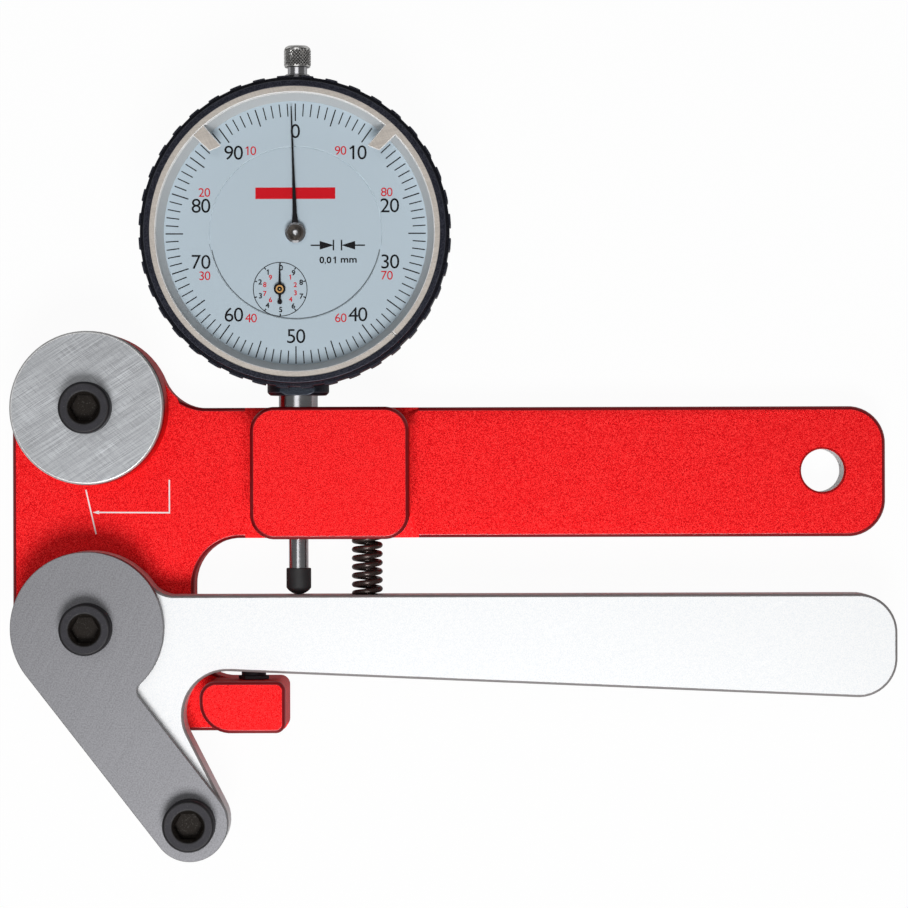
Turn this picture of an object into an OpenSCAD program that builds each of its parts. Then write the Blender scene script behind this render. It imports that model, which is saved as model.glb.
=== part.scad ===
// Spoke tension meter: a red frame with a fixed contact post, a sprung lever with the lower
// contact post, and a dial gauge that reads how far the lever has swung.
// It lies on its back. X runs along the handle, Y towards the gauge, Z out of the dial.
// The origin is the lever's pivot axis on the back face. Lengths are in millimetres.

/* [Frame] */
// Thickness of the frame plate
frame_t = 10; // [8:0.5:12]
// Distance of the left edge from the pivot axis
frame_left = 16.6; // [15.8:0.1:18]
// Distance of the column's right edge from the pivot axis
column_right = 21; // [17.5:0.1:22]
// Height of the handle's upper edge
handle_top = 45.1; // [42:0.1:48]
// Height of the handle's lower edge
handle_bottom = 18.1; // [16:0.1:21]
// Distance of the handle's free end from the pivot axis
handle_end = 164.3; // [120:0.1:200]
// Corner radius at the handle's free end
handle_corner_r = 7.7; // [2:0.1:12]
// Radius between the column and the handle's lower edge
column_fillet_r = 9.7; // [4:0.1:11]
// Radius between the upper lobe and the handle's upper edge
lobe_fillet_r = 9.7; // [5:0.1:12]
// Radius of the round lobe that carries the upper contact
lobe_r = 15.8; // [15:0.1:15.9]
// Height of the foot's upper edge, below the pivot axis
foot_top = 10.8; // [10.8:0.1:12]
// Height of the foot's lower edge, below the pivot axis
foot_bottom = 21.8; // [20.5:0.1:24]
// Distance of the foot's end from the pivot axis
foot_end = 40.4; // [38:0.1:45]
// Radius between the foot and the column
foot_fillet_r = 8; // [3:0.1:9]
// Corner radius at the foot's end
foot_corner_r = 2; // [0.5:0.1:3]
// Distance of the hang hole from the handle's free end
hang_inset = 13; // [10:0.1:20]
// Radius of the hang hole
hang_r = 4.45; // [3:0.05:6]
// Chamfer of the hang hole's two mouths
hang_chamfer = 0.42; // [0.1:0.02:0.8]

/* [Contact posts] */
// Distance from the pivot axis to each of the other contact posts
contact_span = 45; // [43.5:0.5:47]
// Angle of the lower contact post from straight down
leg_angle = 27.65; // [25:0.05:30]
// Radius of a post's head
head_r = 5.3; // [4.5:0.1:6]
// Height of a post's head
head_h = 5; // [4:0.1:6]
// Chamfer of a post's head
head_chamfer = 0.4; // [0.1:0.1:0.8]
// Hex socket, across flats
socket_af = 5; // [4:0.1:5.2]
// Depth of the hex socket
socket_depth = 3.2; // [2:0.1:3.6]
// Radius of the socket's countersunk mouth
socket_mouth_r = 3.4; // [3.1:0.1:3.8]
// Radius of the threaded shank
shank_r = 3; // [2.5:0.1:3.4]
// Length of the threaded shank below the steel
shank_l = 9; // [7:0.5:9.5]
// Radius of the pivot bolt's shoulder
shoulder_r = 4; // [3.5:0.1:4.5]
// Length of the pivot bolt's thread in the frame
pivot_thread_l = 7; // [4:0.5:7.5]

/* [Steel support faces] */
// Thickness of the steel disc and of the steel plate
steel_t = 3; // [2:0.1:4]
// Radius of the upper disc
disc_r = 15.7; // [14.5:0.1:15.8]
// Radius of the plate and of the lever round the pivot
plate_r = 15.65; // [15:0.05:16.2]
// Radius of the plate and of the lever round the lower contact
tip_r = 7.7; // [6.5:0.1:8.5]
// Lean of the plate's right edge, from the horizontal
plate_edge_angle = 52.3; // [52:0.1:56]
// Radius between that edge and the round of the plate
plate_fillet_r = 2; // [1:0.1:3]
// Chamfer of the disc
disc_chamfer = 0.3; // [0.1:0.05:0.5]

/* [Lever] */
// Thickness of the lever
lever_t = 10; // [9:0.5:12]
// Thickness of the washer between frame and lever
washer_t = 0.4; // [0.3:0.1:1]
// Outer radius of that washer
washer_r = 10; // [8:0.5:13]
// Height of the lever's upper edge above the pivot axis
lever_top = 6.6; // [5.5:0.1:7.5]
// Distance of the lever's free end from the pivot axis
lever_end = 165.5; // [120:0.1:200]
// Depth of the lever's lower edge at the pivot axis
lever_low = 7.62; // [7.2:0.02:8]
// Slope of the lever's lower edge
lever_slope = 2.53; // [1.8:0.01:2.8]
// Corner radius at the lever's free end
lever_corner_r = 8; // [3:0.1:9]
// Radius between the lever's round and its upper edge
lever_fillet_r = 6; // [3:0.1:8]
// Radius of the notch over the stop
notch_r = 9; // [7:0.1:10]
// Lean of the leg's right edge, from the horizontal
leg_edge_angle = 63; // [62:0.1:66]
// Outer radius of the lever's bush
bush_r = 5.5; // [5:0.1:7]
// How far the lever can be squeezed up
lever_travel = 6; // [3:0.5:6]

/* [Handle spring] */
// Distance of the spring from the pivot axis
spring_x = 57; // [53:0.1:60]
// Outer radius of the spring
spring_r = 3.2; // [2.8:0.1:3.4]
// Radius of the spring's wire
spring_wire_r = 0.575; // [0.4:0.025:0.6]
// Turns of the spring
spring_turns = 13.25; // [10.25:1:13.25]
// Depth of the pocket in the gauge block
upper_pocket = 8; // [6:0.5:12]
// Depth of the pocket in the lever
lower_pocket = 6; // [4:0.5:7]
// Room round the spring in its pockets
pocket_room = 0.4; // [0.3:0.1:0.6]

/* [Gauge block and stop] */
// Left edge of the gauge block
block_left = 33.3; // [30:0.1:36]
// Right edge of the gauge block
block_right = 65.7; // [64:0.1:72]
// Corner radius of the gauge block
block_corner_r = 5; // [1:0.1:6]
// Left edge of the stop block
stop_left = 22.9; // [22.5:0.1:26]
// Distance of the stop screw from the pivot axis
stop_x = 33.6; // [31:0.1:36]
// Small radius at the stop block's upper left
stop_small_r = 3.4; // [1:0.1:4]
// Large radius at the stop block's lower left
stop_large_r = 6.4; // [3:0.1:7]
// Thread radius of the stop screw
stop_thread_r = 1.5; // [1.2:0.1:2]
// Radius of the stop screw's contact head
stop_head_r = 2.52; // [2.2:0.02:2.7]
// Lock nut, across flats
stop_nut_af = 5.5; // [5:0.1:6]
// Height of the lock nut
stop_nut_h = 0.8; // [0.8:0.1:1.4]

/* [Gauge] */
// Distance of the gauge's axis from the pivot axis
gauge_x = 42.9; // [41:0.1:44]
// Length of stem that shows between the block and the gauge's collar
stem_show = 2.4; // [2:0.1:5]
// Radius of the stem
stem_r = 4; // [3.6:0.1:4.4]
// Radius of the stem's bore
stem_bore_r = 2.8; // [2.5:0.1:3]
// Radius of the spindle
spindle_r = 2; // [1.8:0.1:2.2]
// Thickness of the case's wall
case_wall = 3.2; // [2.8:0.1:3.8]
// Distance from the stem's axis to the back of the gauge
gauge_back = 11; // [9.5:0.5:13]
// Thickness of the back cover
cover_t = 2; // [1.5:0.1:2.5]
// Radius of the collar that holds the stem
collar_r = 6.35; // [5.5:0.05:7]
// Radius of the bush at the top
top_bush_r = 2.6; // [2.5:0.1:3.2]
// How far the top bush stands out of the bezel
top_bush_rise = 1.65; // [0.5:0.05:3]

/* [Bezel and dial] */
// Radius between the ridges of the bezel
bezel_r = 31.25; // [28:0.05:34]
// Thickness of the bezel's wall round the case
bezel_wall = 2.85; // [2.5:0.05:3.3]
// Height of the ridges
ridge_h = 0.3; // [0.2:0.05:0.5]
// Number of ridges round the bezel
ridge_count = 40; // [30:2:60]
// Width of the bezel's front, from its wall to the edge of its lip
lip_w = 1.95; // [1.7:0.05:2.3]
// Radius of the fixed inner dial
inner_dial_r = 17.25; // [16.5:0.05:18]
// Thickness of the dials
dial_t = 0.6; // [0.4:0.1:0.8]
// Thickness of the crystal
crystal_t = 1.1; // [0.8:0.1:1.4]
// Thickness of a marker ring
marker_t = 0.4; // [0.3:0.05:0.5]
// Length of a marker's tab, measured from the bezel's lip
marker_tab_l = 6.6; // [4:0.1:9]
// Angle of each marker's tab from the top of the dial
marker_angle = 43.5; // [20:0.5:60]
// Width of a marker's tab at its ring
marker_tab_w = 3.1; // [2:0.1:5]

/* [Movement] */
// Depth of the rack's pitch line below the spindle's surface
rack_depth = 0.3415; // [0.3:0.0005:0.4]
// Teeth of the counter wheel and of the take-up wheel
wheel_teeth = 100; // [100:10:120]
// Teeth of the centre pinion
pinion_teeth = 10; // [10:1:10]
// Teeth of the rack pinion
rack_teeth = 16; // [16:1:16]
// Spindle travel for one turn of the counter wheel
counter_travel = 10; // [10:0.5:10]
// Thickness of a wheel
wheel_t = 0.8; // [0.6:0.1:1]
// Radius of the arbors
arbor_r = 0.75; // [0.6:0.05:0.9]
// Radius of the arbors' pivots
pivot_r = 0.4; // [0.3:0.05:0.5]
// Room between the main pointer's tip and the silver slope
pointer_room = 1; // [0.3:0.1:5]
// Distance between the movement's two plates
plate_gap = 3.4; // [3.2:0.1:4]
// Height of the room between the dial and the crystal
dial_room = 3.3; // [3:0.1:4.5]

/* [Hidden] */
$fn = 64;

// Clearances
run_gap = 0.03;      // radial, between a shaft and the bore it turns or slides in
pivot_gap = 0.05;    // radial, at the movement's small pivots
end_gap = 0.05;      // axial, at a turning piece's two ends
fixed_gap = 0.01;    // radial, between a fixed piece and its seat
touch_gap = 0.03;    // between the contact tip and the lever
cut = 0.5;           // how far a cutting solid runs past a face
ease = 0.01;         // how far a round runs past the line it meets

// Radii of the gauge, from the bezel in
case_r = bezel_r - bezel_wall;
case_inner_r = case_r - case_wall;
lip_r = bezel_r - lip_w;
slope_r = lip_r - 2.6;
marker_tab_r = lip_r - marker_tab_l;
pointer_l = slope_r - pointer_room;

// Levels, from the back face up
lever_z0 = frame_t + washer_t;
lever_z1 = lever_z0 + lever_t;
face_z = lever_z1 + steel_t;
axis_z = lever_z0 + lever_t / 2;
gauge_z0 = axis_z - gauge_back;
case_z0 = gauge_z0 + cover_t;
rear_plate_z = axis_z + 2.6;
plate_t = 1;
wheel_z = rear_plate_z + plate_t + 0.6;
front_plate_z = rear_plate_z + plate_t + plate_gap;
case_z1 = front_plate_z + plate_t + 1.1;
ledge_z = case_z1 + end_gap;
dial_z = ledge_z + 0.8;
spacer_z = dial_z + dial_t;
crystal_z = spacer_z + dial_room;
marker_z = crystal_z + crystal_t + end_gap;
bezel_z1 = marker_z + 2 * marker_t + end_gap + 0.3;
bezel_z0 = case_z1 - 3.6;
counter_pointer_z = dial_z + dial_t + 0.3;
pointer_z = counter_pointer_z + 0.75;

// Places
collar_rise = 1.3;   // from the collar's lower end to the bezel
upper = [0, contact_span];
lower = contact_span * [sin(leg_angle), -cos(leg_angle)];
gauge_y = handle_top + stem_show + collar_rise + ridge_h + bezel_r;
dial = [gauge_x, gauge_y];
rack_pitch_r = counter_travel / 2 / PI;
counter_dx = spindle_r - rack_depth + rack_pitch_r;
counter_dy = 0.4524 * case_inner_r;
counter = dial - [counter_dx, counter_dy];
take_up = dial + [counter_dx, counter_dy];
hang = [handle_end - hang_inset, (handle_top + handle_bottom) / 2 + 0.2];
clamp_y = (handle_bottom + handle_top) / 2;
clamp_r = 2;
stem_low = handle_bottom + 1.2;
collar_low = handle_top + stem_show;
case_low = gauge_y - case_inner_r;
rubber_r = spindle_r + 0.55;
cap_r = spindle_r + 0.75;
cap_h = 4.5;
tip_low = lever_top + touch_gap;
tip_h = 5.42;
bush_top = gauge_y + bezel_r + ridge_h + top_bush_rise;
cap_low = bush_top + 1.4;

// Plane geometry
function unit(v) = v / norm(v);
function turn_left(v) = [-v[1], v[0]];
function heading(a) = [cos(a), sin(a)];
// Where the line through p along u meets the line through q along w
function meet(p, u, q, w) = p + u * cross(q - p, w) / cross(u, w);
function corner_arms(c, i) = let (n = len(c), p = [c[i][0], c[i][1]],
    a = c[(i + n - 1) % n], b = c[(i + 1) % n])
    [p, unit([a[0], a[1]] - p), unit([b[0], b[1]] - p)];
function half_angle(arms) = acos(arms[1] * arms[2]) / 2;
function corner_chord(c, i, more = 0) = let (
    arms = corner_arms(c, i), t = c[i][2] / tan(half_angle(arms)) + more)
    t == 0 ? [arms[0]] : [arms[0] + t * arms[1], arms[0] + t * arms[2]];
function corner_centre(c, i) = let (arms = corner_arms(c, i))
    arms[0] + unit(arms[1] + arms[2]) * c[i][2] / sin(half_angle(arms));
function is_convex(c, i) = let (arms = corner_arms(c, i)) cross(arms[2], arms[1]) > 0;

// The round of a corner, out of the circle that runs just past both its lines
module corner_cap(corners, i) {
    r = corners[i][2];
    centre = corner_centre(corners, i);
    chord = corner_chord(corners, i, 1.5 * sqrt(2 * r * ease));
    out = r * unit([corners[i][0], corners[i][1]] - centre);
    intersection() {
        translate(centre) circle(r + ease);
        polygon([chord[0], chord[0] + out, chord[1] + out, chord[1]]);
    }
}

// An outline with a radius at each corner; corners are [x, y, radius], anticlockwise
module rounded_outline(corners) {
    last = len(corners) - 1;
    difference() {
        union() {
            polygon([for (i = [0:last]) each corner_chord(corners, i)]);
            for (i = [0:last]) if (corners[i][2] > 0 && is_convex(corners, i)) corner_cap(corners, i);
        }
        for (i = [0:last]) if (corners[i][2] > 0 && !is_convex(corners, i))
            translate(corner_centre(corners, i)) circle(corners[i][2] + ease);
    }
}

module rounded_block(x0, y0, x1, y1, r) {
    rounded_outline([[x0, y0, r], [x1, y0, r], [x1, y1, r], [x0, y1, r]]);
}

module ring(r_out, r_in, h) {
    difference() {
        cylinder(r = r_out, h = h);
        translate([0, 0, -cut]) cylinder(r = r_in, h = h + 2 * cut);
    }
}

// A round bar along Y, from y0 to y1, on the gauge's and lever's mid plane
module bar_y(x, y0, y1, r) {
    translate([x, y0, axis_z]) rotate([-90, 0, 0]) cylinder(r = r, h = y1 - y0);
}

// A profile of [radius, y] points turned round an axis along Y
module turned_y(x, profile) {
    translate([x, 0, axis_z]) rotate([-90, 0, 0]) rotate_extrude() polygon(profile);
}

// A swept tube of six sides. Its rings stand square to the path and start at the outer side.
function path_heading(path, i) = unit(path[min(i + 1, len(path) - 1)] - path[max(i - 1, 0)]);
function tube_ring(path, i, centre, r) = let (
    t = path_heading(path, i),
    out = unit([path[i][0] - centre[0], 0, path[i][2] - centre[1]]),
    b = unit(cross(t, out)),
    n = cross(b, t))
    [for (k = [0:5]) path[i] + r * (cos(60 * k) * n + sin(60 * k) * b)];
// The least distance between two turns of the path, less the wire
function tube_gap(path, r, skip) = min([for (i = [0:len(path) - 1 - skip])
    min([for (j = [i + skip:len(path) - 1]) norm(path[i] - path[j])])]) - 2 * r;

module tube(path, centre, r) {
    last = len(path) - 1;
    points = [for (i = [0:last]) each tube_ring(path, i, centre, r)];
    sides = [for (i = [0:last - 1]) for (k = [0:5]) let (
        a = 6 * i + k, b = 6 * i + (k + 1) % 6) each [[a, a + 6, b], [b, a + 6, b + 6]]];
    first_cap = [for (k = [1:4]) [0, k, k + 1]];
    last_cap = [for (k = [1:4]) [6 * last, 6 * last + k + 1, 6 * last + k]];
    polyhedron(points, concat(first_cap, sides, last_cap));
}

// A coil round an axis along Y through [x, z], its ends straight along Y
function coil_path(centre, r, y0, y1, turns, stub) = let (n = floor(turns * 8)) concat(
    [[centre[0] + r, y0, centre[1]]],
    [for (i = [0:n]) [centre[0] + r * cos(45 * i), y0 + stub + (y1 - y0 - 2 * stub) * i / n,
        centre[1] + r * sin(45 * i)]],
    [[centre[0] + r * cos(45 * n), y1, centre[1] + r * sin(45 * n)]]);

// The outline of a toothed wheel. slim is the share of the pitch that a tooth fills.
function tooth_outline(teeth, pitch_r, size, slim) = [for (i = [0:teeth - 1])
    for (c = [[-0.3, -1.2], [-0.12, 0.8], [0.12, 0.8], [0.3, -1.2]])
    let (a = 360 / teeth * (i + c[0] * slim), r = pitch_r + c[1] * size) r * heading(a)];
module toothed(teeth, pitch_r, size, slim, h) {
    linear_extrude(h) polygon(tooth_outline(teeth, pitch_r, size, slim));
}

/* Frame */

lobe_tangent_x = sqrt(pow(lobe_r + lobe_fillet_r, 2)
    - pow(handle_top + lobe_fillet_r - contact_span, 2));
lobe_fillet_centre = [lobe_tangent_x, handle_top + lobe_fillet_r];
lobe_touch = upper + lobe_r * unit(lobe_fillet_centre - upper);
foot_toe_x = 8;
foot_toe = [foot_toe_x, -foot_bottom];
toe_turn = atan2(-foot_bottom, foot_toe_x) - acos(frame_left / norm(foot_toe));
heel = meet([-frame_left, 0], [0, 1], foot_toe, turn_left(heading(toe_turn)));

module frame_outline() {
    difference() {
        union() {
            rounded_outline([
                [heel[0], heel[1], frame_left],
                [foot_toe[0], foot_toe[1], 3],
                [foot_end, -foot_bottom, foot_corner_r],
                [foot_end, -foot_top, foot_corner_r],
                [column_right, -foot_top, foot_fillet_r],
                [column_right, handle_bottom, column_fillet_r],
                [handle_end, handle_bottom, handle_corner_r],
                [handle_end, handle_top, handle_corner_r],
                [lobe_tangent_x, handle_top, 0],
                [lobe_touch[0], lobe_touch[1], 0],
                [0, contact_span, 0],
                [-frame_left, contact_span, 0]]);
            translate(upper) circle(lobe_r);
            translate([lobe_r - frame_left, contact_span]) circle(lobe_r + ease);
        }
        translate(lobe_fillet_centre) circle(lobe_fillet_r + ease);
    }
}

module stop_outline() {
    rounded_outline([
        [stop_left, 0.4 - foot_bottom, stop_large_r],
        [foot_end, 0.4 - foot_bottom, foot_corner_r],
        [foot_end, -foot_top, foot_corner_r],
        [stop_left, -foot_top, stop_small_r]]);
}

module frame_body() {
    color([0.9, 0.12, 0.14]) difference() {
        union() {
            linear_extrude(frame_t) frame_outline();
            translate([0, 0, frame_t]) {
                linear_extrude(face_z - frame_t)
                    rounded_block(block_left, handle_bottom, block_right, handle_top, block_corner_r);
                linear_extrude(face_z - frame_t) stop_outline();
            }
            translate(upper) cylinder(r = lobe_r, h = lever_z1);
        }
        // hang hole with its two chamfers
        translate([hang[0], hang[1], -cut]) cylinder(r = hang_r, h = frame_t + 2 * cut);
        for (side = [0, 1]) translate([hang[0], hang[1], side * frame_t]) mirror([0, 0, side])
            translate([0, 0, -0.01]) cylinder(r1 = hang_r + hang_chamfer + 0.01, r2 = hang_r,
                h = hang_chamfer + 0.01);
        // threads of the upper post and of the pivot bolt
        post_thread(upper);
        translate([0, 0, frame_t - pivot_thread_l - 1])
            cylinder(r = shank_r + fixed_gap, h = pivot_thread_l + 1 + cut);
        // stem bore, its clamp screw's thread, the spring's pocket and the stop screw's thread
        bar_y(gauge_x, handle_bottom - cut, handle_top + cut, stem_r + fixed_gap);
        translate([gauge_x, clamp_y, -cut]) cylinder(r = clamp_r + fixed_gap, h = axis_z + cut);
        bar_y(spring_x, handle_bottom - cut, handle_bottom + upper_pocket, spring_r + pocket_room);
        bar_y(stop_x, -foot_bottom - cut, -foot_top + cut, stop_thread_r + fixed_gap);
    }
}

/* Contact posts and steel faces */

// A socket head of a post on the plane z = 0, opening upwards
module post_head() {
    socket_r = socket_af / 2 / cos(30);
    difference() {
        rotate_extrude() polygon([[0, 0], [head_r, 0], [head_r, head_h - head_chamfer],
            [head_r - head_chamfer, head_h], [0, head_h]]);
        translate([0, 0, head_h - socket_depth]) cylinder(r = socket_r, h = socket_depth + cut, $fn = 6);
        translate([0, 0, head_h - (socket_mouth_r - socket_af / 2)])
            cylinder(r1 = socket_af / 2, r2 = socket_mouth_r, h = socket_mouth_r - socket_af / 2 + 0.001);
    }
}

module contact_post(place) {
    color([0.17, 0.17, 0.18]) translate([place[0], place[1], face_z]) {
        post_head();
        translate([0, 0, -steel_t - shank_l]) cylinder(r = shank_r, h = steel_t + shank_l + 0.01);
    }
}

// The threaded hole for a post
module post_thread(place) {
    translate([place[0], place[1], lever_z1 - shank_l - 0.5])
        cylinder(r = shank_r + fixed_gap, h = shank_l + 0.5 + cut);
}

module upper_contact_post() { contact_post(upper); }
module lower_contact_post() { contact_post(lower); }

module pivot_bolt() {
    color([0.17, 0.17, 0.18]) {
        translate([0, 0, face_z + end_gap]) post_head();
        translate([0, 0, frame_t]) cylinder(r = shoulder_r, h = face_z + end_gap - frame_t + 0.01);
        translate([0, 0, frame_t - pivot_thread_l]) cylinder(r = shank_r, h = pivot_thread_l + 0.01);
    }
}

module upper_support_disc() {
    color([0.66, 0.67, 0.69]) translate([0, contact_span, lever_z1]) rotate_extrude() polygon([
        [shank_r + 0.2, 0], [disc_r - disc_chamfer, 0], [disc_r, disc_chamfer],
        [disc_r, steel_t - disc_chamfer], [disc_r - disc_chamfer, steel_t], [shank_r + 0.2, steel_t]]);
}

module thrust_washer() {
    color([0.75, 0.6, 0.3]) translate([0, 0, frame_t]) ring(washer_r, shoulder_r + 0.1, washer_t);
}

// Left edge of the leg: the outer tangent of the two rounds
tangent_turn = leg_angle - 90 - 90 + asin((plate_r - tip_r) / contact_span);
left_normal = heading(tangent_turn);
// A right edge of the leg with the given lean, against the round of the tip
function edge_normal(lean) = heading(90 - lean);
plate_normal = edge_normal(plate_edge_angle);
plate_offset = lower * plate_normal + tip_r;
plate_fillet_run = sqrt(pow(plate_r + plate_fillet_r, 2) - pow(plate_offset + plate_fillet_r, 2));
plate_fillet_centre = (plate_offset + plate_fillet_r) * plate_normal
    + plate_fillet_run * heading(-plate_edge_angle);

module support_outline() {
    difference() {
        union() {
            circle(plate_r + ease);
            translate(lower) circle(tip_r + ease);
            polygon([plate_r * left_normal, lower + tip_r * left_normal, lower + tip_r * plate_normal,
                plate_fillet_centre - plate_fillet_r * plate_normal,
                plate_fillet_centre * plate_r / (plate_r + plate_fillet_r)]);
        }
        translate(plate_fillet_centre) circle(plate_fillet_r + ease);
    }
}

module lever_support_plate() {
    color([0.62, 0.63, 0.65]) translate([0, 0, lever_z1]) difference() {
        linear_extrude(steel_t) support_outline();
        translate([0, 0, -cut]) cylinder(r = shoulder_r + run_gap, h = steel_t + 2 * cut);
        translate([lower[0], lower[1], -cut]) cylinder(r = shank_r + 0.2, h = steel_t + 2 * cut);
    }
}

/* Lever */

lever_normal = edge_normal(leg_edge_angle);
lever_edge_top = lower + tip_r * lever_normal;
notch_corner = meet(lever_edge_top, turn_left(lever_normal), [0, -lever_low], heading(-lever_slope));
lever_end_low = meet([lever_end, 0], [0, 1], [0, -lever_low], heading(-lever_slope));
lever_tangent_x = sqrt(pow(plate_r + lever_fillet_r, 2) - pow(lever_top + lever_fillet_r, 2));
lever_fillet_centre = [lever_tangent_x, lever_top + lever_fillet_r];

module lever_outline() {
    difference() {
        union() {
            circle(plate_r + ease);
            translate(lower) circle(tip_r + ease);
            rounded_outline([
                [0, 0, 0],
                concat(plate_r * left_normal, [0]),
                concat(lower + tip_r * left_normal, [0]),
                concat(lower, [0]),
                concat(lever_edge_top, [0]),
                concat(notch_corner, [notch_r]),
                concat(lever_end_low, [lever_corner_r]),
                [lever_end, lever_top, lever_corner_r],
                [lever_tangent_x, lever_top, 0],
                concat(plate_r * unit(lever_fillet_centre), [0])]);
        }
        translate(lever_fillet_centre) circle(lever_fillet_r + ease);
    }
}

module lever_arm() {
    color([0.86, 0.87, 0.89]) difference() {
        translate([0, 0, lever_z0]) linear_extrude(lever_t) lever_outline();
        translate([0, 0, lever_z0 - cut]) cylinder(r = bush_r + fixed_gap, h = lever_t + 2 * cut);
        post_thread(lower);
        bar_y(spring_x, lever_top - lower_pocket, lever_top + cut, spring_r + pocket_room);
    }
}

module lever_bush() {
    color([0.72, 0.55, 0.28]) translate([0, 0, lever_z0]) ring(bush_r, shoulder_r + run_gap, lever_t);
}

/* Handle spring */

spring_low = lever_top - lower_pocket + 0.01;
spring_high = handle_bottom + upper_pocket - 0.01;
spring_path = coil_path([spring_x, axis_z], spring_r - spring_wire_r, spring_low, spring_high,
    spring_turns, 2 * spring_wire_r);
echo(handle_spring_gap = tube_gap(spring_path, spring_wire_r, 6));

module handle_spring() {
    color([0.2, 0.16, 0.15]) tube(spring_path, [spring_x, axis_z], spring_wire_r);
}

/* Screws of the frame */

module stem_clamp_screw() {
    length = 7.4;
    color([0.17, 0.17, 0.18]) translate([gauge_x, clamp_y, axis_z - stem_r - length - 0.01]) difference() {
        cylinder(r = clamp_r, h = length);
        translate([0, 0, -cut]) cylinder(r = 1.15, h = 2.5 + cut, $fn = 6);
    }
}

stop_under = -lever_low - tan(lever_slope) * (stop_x + stop_head_r) - 0.02;

module stop_screw() {
    neck = -foot_top + stop_nut_h;
    color([0.13, 0.13, 0.14]) difference() {
        union() {
            bar_y(stop_x, neck, stop_under, stop_head_r);
            bar_y(stop_x, 0.4 - foot_bottom, neck + 0.01, stop_thread_r);
        }
        translate([stop_x, 0.4 - foot_bottom - cut, axis_z]) rotate([-90, 0, 0])
            cylinder(r = 0.87, h = 1.6 + cut, $fn = 6);
    }
}

module stop_lock_nut() {
    color([0.13, 0.13, 0.14]) translate([stop_x, -foot_top, axis_z]) rotate([-90, 0, 0]) difference() {
        cylinder(r = stop_nut_af / 2 / cos(30), h = stop_nut_h, $fn = 6);
        translate([0, 0, -cut]) cylinder(r = stop_thread_r + fixed_gap, h = stop_nut_h + 2 * cut);
    }
}

/* Gauge case */

web_z = front_plate_z + plate_t;
boss_r = inner_dial_r - 0.5;
wire_r = 0.4;
wire_z = bezel_z0 + 1.1;
arbor_hole_r = arbor_r + 0.4;

// A hole of radius r through everything between z0 and z1 at p
module bore_z(p, r, z0, z1) {
    translate([p[0], p[1], z0]) cylinder(r = r, h = z1 - z0);
}

module gauge_case() {
    color([0.14, 0.15, 0.19]) difference() {
        union() {
            translate([dial[0], dial[1], case_z0]) cylinder(r = case_r, h = case_z1 - case_z0);
            translate([dial[0], dial[1], case_z1]) cylinder(r = boss_r, h = dial_z - case_z1);
            difference() {
                turned_y(gauge_x, [[0, collar_low], [collar_r - 0.6, collar_low],
                    [collar_r, collar_low + 0.6], [collar_r, gauge_y - case_r + 2],
                    [0, gauge_y - case_r + 2]]);
                translate([gauge_x - collar_r - cut, collar_low - cut, bezel_z0 - 0.1])
                    cube([2 * (collar_r + cut), bezel_r, collar_r]);
            }
        }
        translate([dial[0], dial[1], case_z0 - cut]) cylinder(r = case_inner_r, h = web_z - case_z0 + cut);
        bar_y(gauge_x, collar_low - cut, stem_high + 0.01, stem_r + fixed_gap);
        bar_y(gauge_x, stem_high, gauge_y, stem_bore_r);
        bar_y(gauge_x, gauge_y, gauge_y + case_r + cut, top_bush_r + fixed_gap);
        translate([dial[0], dial[1], wire_z]) difference() {
            translate([0, 0, -wire_r - 0.05]) cylinder(r = case_r + 1, h = 2 * wire_r + 0.1);
            translate([0, 0, -1]) cylinder(r = case_r - wire_r - 0.03, h = 2);
        }
        bore_z(dial, 1.5, web_z - cut, dial_z + cut);
        bore_z(counter, arbor_hole_r, web_z - cut, dial_z + cut);
        for (p = pillar_places) bore_z(p, pillar_bore_r, web_z - cut, case_z1 - 0.3);
        for (p = cover_screw_places) bore_z(p, 0.71, case_z0 - cut, case_z0 + 4);
    }
}

stem_high = gauge_y - case_r + 1.2;

module gauge_stem() {
    color([0.7, 0.71, 0.73]) turned_y(gauge_x, [[stem_bore_r, stem_low], [stem_r - 0.3, stem_low],
        [stem_r, stem_low + 0.3], [stem_r, stem_high], [stem_bore_r, stem_high]]);
}

module stem_bush() {
    color([0.72, 0.55, 0.28]) turned_y(gauge_x, [[spindle_r + run_gap, stem_low],
        [stem_bore_r - fixed_gap, stem_low], [stem_bore_r - fixed_gap, stem_low + 8],
        [spindle_r + run_gap, stem_low + 8]]);
}

module top_bush() {
    color([0.6, 0.6, 0.62]) turned_y(gauge_x, [[spindle_r + run_gap, gauge_y + case_inner_r - 1.5],
        [top_bush_r, gauge_y + case_inner_r - 1.5], [top_bush_r, gauge_y + case_r],
        [top_bush_r + 0.8, gauge_y + case_r + 0.01], [top_bush_r + 0.8, gauge_y + case_r + 1.2],
        [top_bush_r, gauge_y + case_r + 1.2], [top_bush_r, bush_top - 0.2],
        [top_bush_r - 0.2, bush_top], [spindle_r + run_gap, bush_top]]);
}

cover_screw_places = [for (a = [45:90:315]) dial + (case_r + case_inner_r) / 2 * heading(a)];

module back_cover() {
    color([0.2, 0.21, 0.25]) difference() {
        translate([dial[0], dial[1], gauge_z0]) rotate_extrude() polygon([[0, 0], [case_r - 0.6, 0],
            [case_r, 0.6], [case_r, cover_t], [0, cover_t]]);
        for (p = cover_screw_places) {
            bore_z(p, 0.75, gauge_z0 - cut, gauge_z0 + cover_t + cut);
            bore_z(p, 1.3, gauge_z0 - cut, gauge_z0 + 1.1);
        }
    }
}

module back_cover_screws() {
    color([0.6, 0.6, 0.62]) for (p = cover_screw_places) difference() {
        union() {
            bore_z(p, 0.7, gauge_z0 + 1, case_z0 + 3.5);
            bore_z(p, 1.25, gauge_z0 + 0.1, gauge_z0 + 1.1);
        }
        translate([p[0] - 1.5, p[1] - 0.15, gauge_z0]) cube([3, 0.3, 0.5]);
    }
}

/* Movement, fixed parts */

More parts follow.
